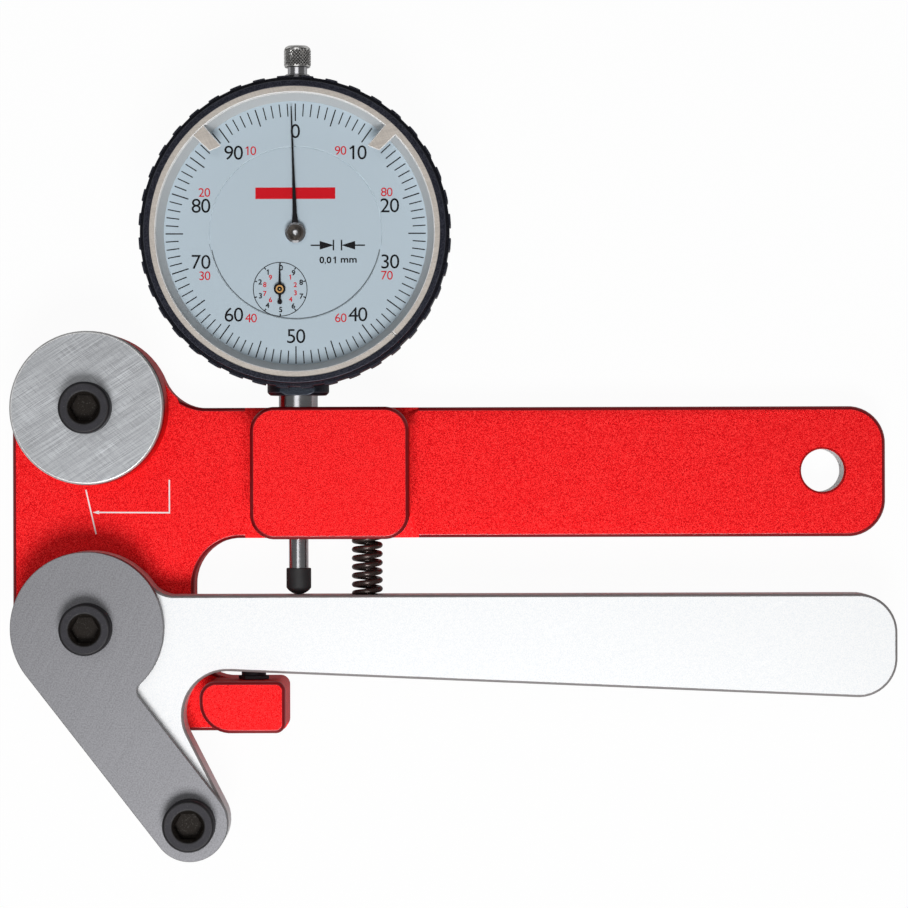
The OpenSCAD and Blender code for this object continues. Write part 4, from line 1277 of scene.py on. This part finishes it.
@dataclass
class RedFrame(Workshop):
    """The red frame with its fixed post, disc, pivot bolt, stop and printed marks."""

    face_z: float = 10.0
    line: float = 0.3
    upper: Spot = (0.0, 45.0)
    hang: Spot = (151.3, 31.8)
    block: Spot = (31.6, 67.6)
    bore_x: Spot = (36.0, 62.0)
    bore_y: Spot = (18.4, 44.5)
    bore_z: Spot = (10.5, 21.0)
    foot_end: float = 26.0
    foot_low: float = -10.4
    lobe_low: float = 41.6
    lobe_r: float = 17.4
    notch: Spot = (14.7, 50.5)
    notch_r: float = 2.8
    clamp: Spot = (42.9, 31.45)
    clamp_r: float = 4.0
    stop_x: float = 33.6
    stop_r: float = 2.2
    stop_z: Spot = (12.0, 19.0)
    hang_r: float = 4.6
    hang_wall: Spot = (0.5, 9.5)

    def build(self) -> None:
        """Builds and dresses the sub-assembly."""
        ends = [((x, 0, self.face_z), (1, 0, 0)) for x in (self.foot_end, self.block[0], self.block[1])]
        ends.append(((0, self.lobe_low, self.face_z), (0, 1, 0)))
        body = self.soften("frame_body", Body.FRAME, Paint.RED, Paint.RED_EDGE, 0.72, 4, self.spared, ends)
        low, high = self.hang_wall
        self.stain(body, Paint.BORE, lambda at: within(at, self.hang, self.hang_r) and low < at.z < high)
        self.soften("upper_support_disc", Body.FRAME, Paint.DISC, Paint.DISC_EDGE, 0.16, spare=self.near_post)
        self.screw("upper_contact_post", Body.FRAME, self.upper)
        self.screw("pivot_bolt", Body.FRAME, (0.0, 0.0))
        for node in ("stop_screw", "stop_lock_nut"):
            self.soften(node, Body.FRAME, Paint.POST, Paint.POST_EDGE, 0.12)
        self.keep(Paint.BRONZE, "thrust_washer")
        self.keep(Paint.POST, "stem_clamp_screw")
        self.marks()

    def near_post(self, at: Vector) -> bool:
        """Whether an edge belongs to the disc's bore."""
        return within(at, self.upper, 6)

    def spared(self, at: Vector) -> bool:
        """Whether an edge of the frame stays sharp: bores, pockets and the chamfered hang hole.

        Args:
            at: the edge's middle, in millimetres.

        Returns:
            True if it isn't rounded.
        """
        (left, right), (low, high), (back, front) = self.bore_x, self.bore_y, self.bore_z
        hang = within(at, self.hang, 6)
        posts = at.xy.length < 8 or within(at, self.upper, 8)
        bore = back < at.z < front and left < at.x < right and (at.y < low or at.y > high)
        clamp = within(at, self.clamp, self.clamp_r) and at.z < 1
        stop = abs(at.x - self.stop_x) < self.stop_r and self.stop_z[0] < at.z < self.stop_z[1]
        step = abs(at.z - self.face_z) < 0.1
        boss = at.y > self.lobe_low and within(at, self.upper, self.lobe_r)
        lobe = boss or within(at, self.notch, self.notch_r)
        foot = at.x > self.foot_end and at.y < self.foot_low
        beside = self.block[0] < at.x < self.block[1] or foot or lobe
        return hang or posts or bore or clamp or stop or step and beside

    def marks(self) -> None:
        """Prints the spoke line and the arrow that points to it."""
        z = self.face_z
        bend, tip = (15.88, 23.4), (0.02, 23.5)
        half = self.line / 2
        parts = [
            self.strip("mark", (-1.42, 28.2), (0.68, 19.0), z, self.line, INK_RISE),
            self.strip("mark", (bend[0], 30.2), (bend[0], bend[1] - half), z, self.line, INK_RISE),
            self.strip("mark", (bend[0] - half, bend[1]), (1.3, 23.49), z, self.line, INK_RISE),
            self.strip("mark", (1.32, 23.49), tip, z, 0.78, INK_RISE, 0.05),
        ]
        for part in parts:
            coat(part, Paint.WHITE_INK)
        self.deliver(self.unite("frame_marks", parts), Body.FRAME, Paint.WHITE_INK)


@dataclass
class SilverLever(Workshop):
    """The lever with its steel plate, bush and contact post."""

    lower: Spot = (20.884, -39.86)
    pocket: Spot = (57.0, 15.4)
    pocket_r2: float = 20.0

    def build(self) -> None:
        """Builds and dresses the sub-assembly."""
        self.soften("lever_arm", Body.LEVER, Paint.SILVER, Paint.SILVER_EDGE, 0.5, 3, self.spared)
        self.soften("lever_support_plate", Body.LEVER, Paint.PLATE, Paint.PLATE_EDGE, 0.12, spare=self.bores)
        self.screw("lower_contact_post", Body.LEVER, self.lower)
        self.keep(Paint.BRONZE, "lever_bush")

    def bores(self, at: Vector) -> bool:
        """Whether an edge belongs to a bore for a post."""
        return at.xy.length < 6.5 or within(at, self.lower, 5)

    def spared(self, at: Vector) -> bool:
        """Whether an edge stays sharp: the bores and the spring's pocket."""
        pocket = (at.x - self.pocket[0]) ** 2 + (at.z - self.pocket[1]) ** 2 < self.pocket_r2
        return self.bores(at) or pocket


@dataclass
class HandleSpring(Workshop):
    """The coil spring that holds the lever away from the handle."""

    foot: Point = (57.0, 1.185, 15.4)
    radius: float = 2.625
    wire: float = 0.575
    turns: float = 13.25
    closed: float = 1.0
    length: float = 24.33

    def build(self) -> None:
        """Builds and dresses the spring, which sits between frame and lever."""
        end = 2 * self.wire + 0.02
        middle = self.length - 2 * end * self.closed
        runs = [(self.closed, end), (self.turns - 1, middle), (self.closed, end)]
        spring = self.coil("handle_spring_wound", self.foot, self.radius, self.wire, runs)
        spring.data.materials.clear()
        coat(spring, Paint.SPRING)
        settle(spring)
        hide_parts("handle_spring")
        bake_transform(spring)
        log.info("%s: %d faces between frame and lever", spring.name, len(spring.data.polygons))


@dataclass
class GaugeShell(Workshop):
    """The gauge's case, stem, bushes and back cover."""

    def build(self) -> None:
        """Builds and dresses the sub-assembly."""
        self.soften("gauge_case", Body.FRAME, Paint.CASE, Paint.CASE_EDGE, 0.12, spare=self.inside)
        self.soften("back_cover", Body.FRAME, Paint.CASE, Paint.CASE_EDGE, 0.1)
        self.soften("gauge_stem", Body.FRAME, Paint.CHROME, Paint.CHROME, 0.12)
        self.soften("top_bush", Body.FRAME, Paint.NECK, Paint.CHROME, 0.1)
        self.keep(Paint.STEEL, "back_cover_screws", "bezel_wire")
        self.keep(Paint.BRONZE, "stem_bush")

    def inside(self, at: Vector) -> bool:
        """Whether an edge lies inside the case."""
        return within(at, GAUGE_AXIS, 28)


@dataclass
class BezelRing(Workshop):
    """All that turns with the bezel: ridged ring, slope, crystal, tolerance markers and outer dial."""

    tick_r: float = 26.4
    ticks: tuple[tuple[int, float, float, float], ...] = (
        (100, 2.6, 0.22, INK_RISE), (20, 3.55, 0.25, INK_RISE + 0.004),
    )
    black_h: float = 2.84
    red_h: float = 1.76
    black: tuple[Place, ...] = (
        ("0", 0.0, 20.8), ("10", 12.55, 16.45), ("20", 19.1, 5.7), ("30", 19.1, -5.7),
        ("40", 12.6, -16.4), ("50", 0.0, -20.8), ("60", -12.6, -16.4), ("70", -19.2, -5.7),
        ("80", -19.2, 5.7), ("90", -12.55, 16.45),
    )
    red: tuple[Place, ...] = (
        ("10", -9.15, 16.85), ("20", -18.5, 8.4), ("30", -18.5, -8.5), ("40", -9.1, -17.1),
        ("60", 9.1, -17.1), ("70", 18.5, -8.5), ("80", 18.5, 8.4), ("90", 9.15, 16.85),
    )

    def build(self) -> None:
        """Builds and dresses the sub-assembly."""
        self.soften("bezel", Body.BEZEL, Paint.BEZEL, Paint.BEZEL_EDGE, 0.1, spare=self.inside)
        self.soften("dial_spacer", Body.BEZEL, Paint.SLOPE, Paint.RING_EDGE, 0.1)
        self.soften("left_marker", Body.LEFT_MARKER, Paint.RING, Paint.RING_EDGE, 0.17)
        self.soften("right_marker", Body.RIGHT_MARKER, Paint.RING, Paint.RING_EDGE, 0.17)
        self.soften("outer_dial", Body.BEZEL, Paint.DIAL, Paint.DIAL_EDGE, 0.3)
        self.soften("crystal", Body.BEZEL, Paint.CRYSTAL, Paint.CRYSTAL, 0.08)
        self.scale()
        for name, places, height, ink in (
            ("dial_numerals_black", self.black, self.black_h, Paint.BLACK_INK),
            ("dial_numerals_red", self.red, self.red_h, Paint.RED_INK),
        ):
            self.deliver(self.unite(name, self.numbers(places, PRINT_CENTRE, height)), Body.BEZEL, ink)

    def inside(self, at: Vector) -> bool:
        """Whether an edge is hidden inside the bezel."""
        return within(at, GAUGE_AXIS, 29.2) or at.z < 21.2 and within(at, GAUGE_AXIS, 29.5)

    def scale(self) -> None:
        """Prints the hundred lines of the scale, every fifth one longer."""
        x, y, top = PRINT_CENTRE
        start = (x, y + self.tick_r)
        lines = []
        for count, length, width, rise in self.ticks:
            tick = self.strip("tick", start, (x, start[1] - length), top, width, rise)
            self.repeat_round(tick, (x, y), count)
            lines.append(tick)
        self.deliver(self.unite("dial_scale", lines), Body.BEZEL, Paint.BLACK_INK)


@dataclass
class InnerDial(Workshop):
    """The fixed inner dial with its small counter dial."""

    radius: float = 17.25
    step_drop: float = 0.22
    step_rise: float = 0.2
    shade_drop: float = 3.0
    bar_rise: float = 8.2
    bar_width: float = 2.33
    arrow_drop: float = 2.38
    words_drop: float = 5.41
    counter: Spot = (COUNTER_AXIS[0] + 0.08, COUNTER_AXIS[1] - 0.02)
    counter_r: float = 5.45
    black: tuple[Place, ...] = (
        ("0", 0.15, 4.33), ("1", -2.52, 3.44), ("2", -4.1, 1.46), ("3", -4.04, -1.36), ("4", -2.62, -3.3),
        ("5", 0.04, -4.17), ("6", 2.62, -3.44), ("7", 4.27, -1.46), ("8", 4.23, 1.36), ("9", 2.68, 3.3),
    )
    red: tuple[Place, ...] = (
        ("9", -2.0, 2.39), ("8", -3.14, 0.91), ("7", -3.14, -0.87), ("6", -2.0, -2.17),
        ("1", 2.04, 2.43), ("2", 3.05, 0.87), ("3", 3.05, -0.78), ("4", 2.1, -2.08),
    )

    def build(self) -> None:
        """Builds and dresses the sub-assembly."""
        self.keep(Paint.DIAL, "inner_dial")
        self.step()
        self.bar()
        self.unit_marks()
        self.counter_dial()

    def step(self) -> None:
        """Makes the step from the inner dial down to the outer one, with painted shade on its lower half."""
        foot = (*GAUGE_AXIS, DIAL_TOP - self.step_drop)
        step = self.band("dial_step", foot, self.radius + 0.19, self.radius - 0.02, self.step_rise)
        coat(step, Paint.DIAL)
        # painted shade over the step's lower half
        self.stain(step, Paint.STEP, lambda at: at.y < GAUGE_AXIS[1] - self.shade_drop)
        self.deliver(step, Body.FRAME, Paint.DIAL)

    def bar(self) -> None:
        """Prints the plain red bar."""
        x, y, top = PRINT_CENTRE
        level = y + self.bar_rise
        bar = self.strip("bar", (x - 8.16, level), (x + 8.06, level), top, self.bar_width, INK_RISE)
        self.deliver(self.unite("dial_red_bar", [bar]), Body.FRAME, Paint.RED_INK)

    def unit_marks(self) -> None:
        """Prints two arrows that meet at two bars and, below them, what one division is worth."""
        x, y, top = PRINT_CENTRE
        level, words = y - self.arrow_drop, y - self.words_drop
        parts = [
            self.strip("mark", (x + 3.03, level), (x + 4.9, level), top, 0.28, INK_RISE),
            self.strip("mark", (x + 4.88, level), (x + 7.6, level), top, 1.76, INK_RISE, 0.05),
            self.strip("mark", (x + 7.66, level + 1.1), (x + 7.66, level - 1.05), top, 0.3, INK_RISE),
            self.strip("mark", (x + 9.3, level + 1.1), (x + 9.3, level - 1.05), top, 0.3, INK_RISE),
            self.strip("mark", (x + 12.06, level), (x + 9.46, level), top, 1.76, INK_RISE, 0.05),
            self.strip("mark", (x + 12.04, level), (x + 14.06, level), top, 0.28, INK_RISE),
            self.write("0", (x + 5.25, words, top), 1.24, 0.86, 0.09),
            self.write(",", (x + 5.97, words - 0.61, top), 1.3, 0.2, 0.05),
            self.write("0", (x + 6.7, words, top), 1.24, 0.86, 0.09),
            *self.number("1", (x + 7.9, words, top), 1.3, 0.09),
            self.write("mm", (x + 10.71, words - 0.09, top), 1.28, 3.15, 0.09),
        ]
        self.deliver(self.unite("dial_unit_marks", parts), Body.FRAME, Paint.BLACK_INK)

    def counter_dial(self) -> None:
        """Prints the counter dial: a circle, ten short lines and two rows of digits."""
        x, y = self.counter
        centre, r, half = (x, y, DIAL_TOP), self.counter_r, 0.08
        ring = self.band("ring", centre, r + half, r - half, INK_RISE, 96)
        tick = self.strip("tick", (x, y + r), (x, y + r - 0.52), DIAL_TOP, 0.24, INK_RISE)
        self.repeat_round(tick, self.counter, 10)
        black = self.numbers(self.black, centre, 1.02, 0.07)
        red = self.numbers(self.red, centre, 0.95, 0.05)
        self.deliver(self.unite("counter_dial_black", [ring, tick, *black]), Body.FRAME, Paint.BLACK_INK)
        self.deliver(self.unite("counter_dial_red", red), Body.FRAME, Paint.RED_INK)


@dataclass
class Pointers(Workshop):
    """The two pointers with their hubs."""

    level: float = 27.0
    counter_level: float = 26.25
    turn: float = 1.8
    steps: tuple[Spot, ...] = ((0.9, 1.5), (2.0, 1.3), (4.0, 0.86), (8.5, 0.66), (12.0, 0.5), (25.6, 0.2))

    def build(self) -> None:
        """Builds and dresses the sub-assembly."""
        blade = self.blade("main_pointer_blade", self.steps, 0.28)
        blade.rotation_euler = (0, 0, math.radians(self.turn))
        blade.location = metres((*GAUGE_AXIS, self.level + 0.01))
        self.deliver(blade, Body.POINTER, Paint.POINTER, "main_pointer")
        self.soften("counter_pointer", Body.COUNTER, Paint.POINTER, Paint.POINTER, 0.05)
        self.hub()
        self.counter_hub()

    def hub(self) -> None:
        """Turns the main pointer's hub: a wide head with a bright chamfer, two rings and a centre pin."""
        profile = [
            (1.5, -0.55), (1.5, -0.3), (1.98, -0.3), (2.08, -0.2), (2.08, 0.3), (1.64, 0.66), (1.52, 0.66),
            (1.46, 0.52), (1.3, 0.52), (1.22, 0.72), (0.95, 0.76), (0.86, 0.6), (0.7, 0.6), (0.62, 0.76),
            (0.45, 0.86), (0.25, 0.89), (0.1, 0.9),
        ]
        hub = self.lathe("pointer_hub_turned", profile, (*GAUGE_AXIS, self.level))
        coat(hub, Paint.CHROME)
        middle = Vector(GAUGE_AXIS)
        self.stain(hub, Paint.HUB, lambda at: at.z > self.level + 0.5 and 0.6 < (at.xy - middle).length < 1.6)
        self.round_off(hub, 20.0)
        self.deliver(hub, Body.POINTER, Paint.CHROME, "pointer_hub")

    def counter_hub(self) -> None:
        """Turns the small black cap on the counter pointer, with a brass ring and pin in it."""
        profile = [
            (1.15, 0.25), (1.18, 0.3), (1.18, 0.42), (1.08, 0.52), (0.82, 0.54), (0.78, 0.64), (0.5, 0.64),
            (0.46, 0.55), (0.16, 0.55), (0.12, 0.62),
        ]
        cap = self.lathe("counter_hub", profile, (*COUNTER_AXIS, self.counter_level), sides=40)
        coat(cap, Paint.POINTER)
        middle = Vector(COUNTER_AXIS)
        self.stain(cap, Paint.BRONZE, lambda at: 0.47 < (at.xy - middle).length < 0.81 and at.z > 26.8)
        self.stain(cap, Paint.BRASS, lambda at: within(at, COUNTER_AXIS, 0.13) and at.z > 26.78)
        self.round_off(cap)
        self.deliver(cap, Body.COUNTER, Paint.POINTER)


@dataclass
class SpindleRod(Workshop):
    """The spindle with its rubber tip, knurled lift cap, pin and return spring."""

    axis: Spot = (42.9, 15.4)
    cap_low: float = 114.95
    cap_r: float = 2.75
    cap_h: float = 4.5
    wall: Spot = (0.3, 3.78)
    rows: int = 5
    columns: int = 24

    def build(self) -> None:
        """Builds and dresses the sub-assembly."""
        self.keep(Paint.CHROME, "spindle")
        self.keep(Paint.STEEL, "guide_pin")
        self.soften("contact_tip", Body.SPINDLE, Paint.RUBBER, Paint.RUBBER, 0.15, 3)
        self.lift_cap()
        self.return_spring()

    def lift_cap(self) -> None:
        """Turns the lift cap and cuts its diamond knurl."""
        r, (wall_low, wall_high) = self.cap_r - 0.1, self.wall
        step = (wall_high - wall_low) / self.rows
        profile = [(2.005, 0.0), (r - 0.15, 0.0), (r, 0.14), (r, wall_low)]
        profile += [(r, wall_low + step * k) for k in range(1, self.rows + 1)]
        profile += [(r, wall_high + 0.1), (r - 0.2, wall_high + 0.42)]
        profile += [(r - 0.7, self.cap_h - 0.02), (0.9, self.cap_h)]
        foot = (self.axis[0], self.cap_low, self.axis[1])
        cap = self.lathe("lift_cap_knurled", profile, foot, "Y", self.columns)
        coat(cap, Paint.CAP)
        pick(cap)
        bpy.ops.object.mode_set(mode="EDIT")
        mesh = bmesh.from_edit_mesh(cap.data)
        low, high = (self.cap_low + wall_low) * MM, (self.cap_low + wall_high) * MM
        tiny = 0.01 * MM

        def rounded(vert: bmesh.types.BMVert) -> tuple[int, ...]:
            """A vertex's place, to a tenth of a micrometre."""
            return tuple(round(c * 1e7) for c in vert.co)

        def on_wall(face: bmesh.types.BMFace) -> bool:
            """Whether a face is one of the knurl's fields."""
            middle = face.calc_center_median().y
            return low < middle < high and abs(face.normal.y) < 0.2

        bpy.ops.mesh.select_mode(type="FACE")
        for face in mesh.faces:
            face.select_set(on_wall(face))
        old = {rounded(v) for v in mesh.verts}
        bmesh.update_edit_mesh(cap.data)
        bpy.ops.mesh.poke()
        select_edges(
            lambda e: all(rounded(v) in old for v in e.verts)
            and all(low - tiny < v.co.y < high + tiny for v in e.verts)
            and all(len(f.verts) == 3 for f in e.link_faces)
        )
        bpy.ops.mesh.dissolve_edges(use_verts=False)
        bpy.ops.mesh.select_mode(type="FACE")
        mesh = bmesh.from_edit_mesh(cap.data)
        for face in mesh.faces:
            face.select_set(on_wall(face) and len(face.verts) == 4)
        bmesh.update_edit_mesh(cap.data)
        bpy.ops.mesh.poke(offset=0.17 * MM)
        face_outwards()
        bpy.ops.object.shade_smooth_by_angle(angle=math.radians(18))
        # painted shade on the lower right side of every knurl point
        self.stain(cap, Paint.GROOVE, self.shaded)
        self.deliver(cap, Body.SPINDLE, Paint.CAP, "lift_cap")

    def shaded(self, at: Vector) -> bool:
        """Whether a face lies on the lower right side of one of the knurl's points, which is painted in
        shade.
        """
        low, high = (self.cap_low + edge for edge in self.wall)
        if not low < at.y < high or (at.xz - Vector(self.axis)).length < self.cap_r - 0.35:
            return False
        across = math.atan2(at.z - self.axis[1], at.x - self.axis[0]) / math.tau * self.columns % 1
        along = (at.y - low) / (high - low) * self.rows % 1
        points = ((0.5, 0), (0.5, 1), (0, 0.5), (1, 0.5))
        near = min(points, key=lambda p: abs(across - p[0]) + abs(along - p[1]))
        return across > near[0] and along < near[1]

    def return_spring(self) -> None:
        """Winds the spindle's return spring from the CAD spring's own box."""
        low, high = (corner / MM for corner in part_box("return_spring"))
        wire, axis_x = 0.2, (low.x + high.x) / 2
        length = high.y - low.y - 2 * wire
        runs = [(1.0, 0.44), (20.0, length - 0.88), (1.0, 0.44)]
        spring = self.coil("return_spring_wound", (axis_x, low.y + wire, self.axis[1]), 1.4, wire, runs)
        spring.data.materials.clear()
        coat(spring, Paint.FINE_SPRING)
        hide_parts("return_spring")
        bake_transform(spring)
        log.info("%s: %d faces between frame and spindle", spring.name, len(spring.data.polygons))


@dataclass
class Movement(Workshop):
    """The plates, wheels and arbors inside the case."""

    take_up: Spot = (46.15, 91.75)

    def build(self) -> None:
        """Builds and dresses the sub-assembly."""
        self.keep(Paint.BRASS, "movement_rear_plate", "movement_front_plate", "movement_pillars")
        self.keep(Paint.BRASS, "rack_bridge", "counter_wheel", "take_up_wheel", "hairspring_stud")
        self.keep(Paint.STEEL, "movement_screws", "bridge_posts", "spindle_guide", "spring_anchor")
        self.keep(Paint.CHROME, "center_pinion", "counter_arbor", "take_up_arbor")
        self.hairspring()

    def hairspring(self) -> None:
        """Winds the flat spiral from half rounds about two centres, as on paper."""
        low, high = (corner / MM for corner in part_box("hairspring"))
        level = (low.z + high.z) / 2
        start, grow, wire = 1.15, 0.36, 0.1
        deselect()
        bpy.ops.mesh.primitive_circle_add(
            vertices=8, radius=wire * MM, fill_type="NOTHING", rotation=(math.radians(90), 0, 0),
            location=metres((self.take_up[0] + start, self.take_up[1], level)),
        )
        obj = bpy.context.object
        bpy.ops.object.transform_apply(location=True, rotation=True)
        bpy.ops.object.mode_set(mode="EDIT")
        bpy.ops.mesh.select_all(action="SELECT")
        for half in range(7):
            shift = grow / 2 * (half % 2)
            bpy.ops.mesh.spin(
                steps=16, angle=math.pi, axis=(0, 0, 1),
                center=metres((self.take_up[0] + shift, self.take_up[1], level)),
            )
        close_wire(0.002)
        obj.name = "hairspring_wound"
        coat(obj, Paint.FINE_SPRING)
        self.deliver(obj, Body.FRAME, Paint.FINE_SPRING, "hairspring")


# ----------------------------------------------------------------------- studio


@dataclass
class Lamp:
    """A soft square lamp that looks at the meter."""

    name: str
    place: Point
    size: float
    power: float


@dataclass
class Studio:
    """Floor, lamps, world and camera."""

    middle: Point = (74.9, 35.3, 10.0)
    camera: Point = (74.9, 35.4, 765.4)
    lens: float = 144.5
    lean: float = -0.16
    ambient: float = 0.13
    floor_r: float = 8000.0
    floor_drop: float = 0.02
    lamps: list[Lamp] = field(
        default_factory=lambda: [
            Lamp("key", (85, -330, 800), 0.3, 5.0),
            Lamp("fill", (-120, 280, 1200), 0.7, 1.9),
            Lamp("front", (30, -900, 200), 0.7, 1.2),
        ]
    )

    def build(self) -> None:
        """Sets the scene."""
        self.floor()
        self.world()
        for lamp in self.lamps:
            self.hang(lamp)
        self.shoot()

    def floor(self) -> None:
        """Lays a white floor that shows pure white but for a faint shadow."""
        deselect()
        bpy.ops.mesh.primitive_circle_add(
            vertices=96, radius=self.floor_r * MM, fill_type="NGON", location=metres((0, 0, -self.floor_drop))
        )
        floor = bpy.context.object
        floor.name = "floor"
        g = Graph(bpy.data.materials.new("floor_white"))
        path = g.node("ShaderNodeLightPath")
        camera, gloss, through = (
            Signal(g, path.outputs[f"Is {kind} Ray"]) for kind in ("Camera", "Glossy", "Transmission")
        )
        pale = g.blend(camera, (0.42, 0.42, 0.42), (0.9, 0.9, 0.9))
        matt = g.value("ShaderNodeBsdfDiffuse", {}, {"Color": pale})
        glow = g.value("ShaderNodeEmission", {}, {"Color": (1, 1, 1, 1), "Strength": 1.0})
        seen, mirrored = 0.96, 0.25
        share = camera * seen + gloss * mirrored + through * seen
        mixed = g.value("ShaderNodeMixShader", {}, {0: share, 1: matt, 2: glow})
        g.node("ShaderNodeOutputMaterial", {}, {"Surface": mixed})
        floor.data.materials.append(g.owner)

    def world(self) -> None:
        """Sets an even pale surround, darker for light than for the camera."""
        g = Graph(bpy.data.worlds.new("surround"))
        bpy.context.scene.world = g.owner
        seen = g.value("ShaderNodeLightPath", out="Is Camera Ray")
        dim, bright = (
            g.value("ShaderNodeBackground", {}, {"Color": (1, 1, 1, 1), "Strength": strength})
            for strength in (self.ambient, 1.0)
        )
        mixed = g.value("ShaderNodeMixShader", {}, {0: seen, 1: dim, 2: bright})
        g.node("ShaderNodeOutputWorld", {}, {"Surface": mixed})

    def hang(self, lamp: Lamp) -> None:
        """Hangs one lamp.

        Args:
            lamp: its place, size and power.
        """
        light = bpy.data.lights.new(lamp.name, "AREA")
        light.shape = "SQUARE"
        light.size = lamp.size
        light.energy = lamp.power
        obj = bpy.data.objects.new(lamp.name, light)
        bpy.context.scene.collection.objects.link(obj)
        obj.location = metres(lamp.place)
        obj.rotation_euler = (metres(self.middle) - obj.location).to_track_quat("-Z", "Y").to_euler()

    def shoot(self) -> None:
        """Puts the camera where the photograph was taken from."""
        data = bpy.data.cameras.new("camera")
        data.lens = self.lens
        data.sensor_width = 36.0
        data.clip_start, data.clip_end = 0.01, 50
        camera = bpy.data.objects.new("camera", data)
        bpy.context.scene.collection.objects.link(camera)
        camera.location = metres(self.camera)
        camera.rotation_euler = (0, 0, math.radians(self.lean))
        bpy.context.scene.camera = camera
        bpy.context.scene.view_settings.view_transform = "Standard"


def main() -> None:
    """Builds the sub-assemblies in order."""
    logging.basicConfig(level=logging.INFO, format="%(message)s", stream=sys.stdout)
    for part in (
        RedFrame(), SilverLever(), HandleSpring(), GaugeShell(), BezelRing(), InnerDial(), Pointers(),
        SpindleRod(), Movement(), Studio(),
    ):
        log.info("-- %s", type(part).__name__)
        part.build()
    deselect()


if __name__ == "__main__":
    main()
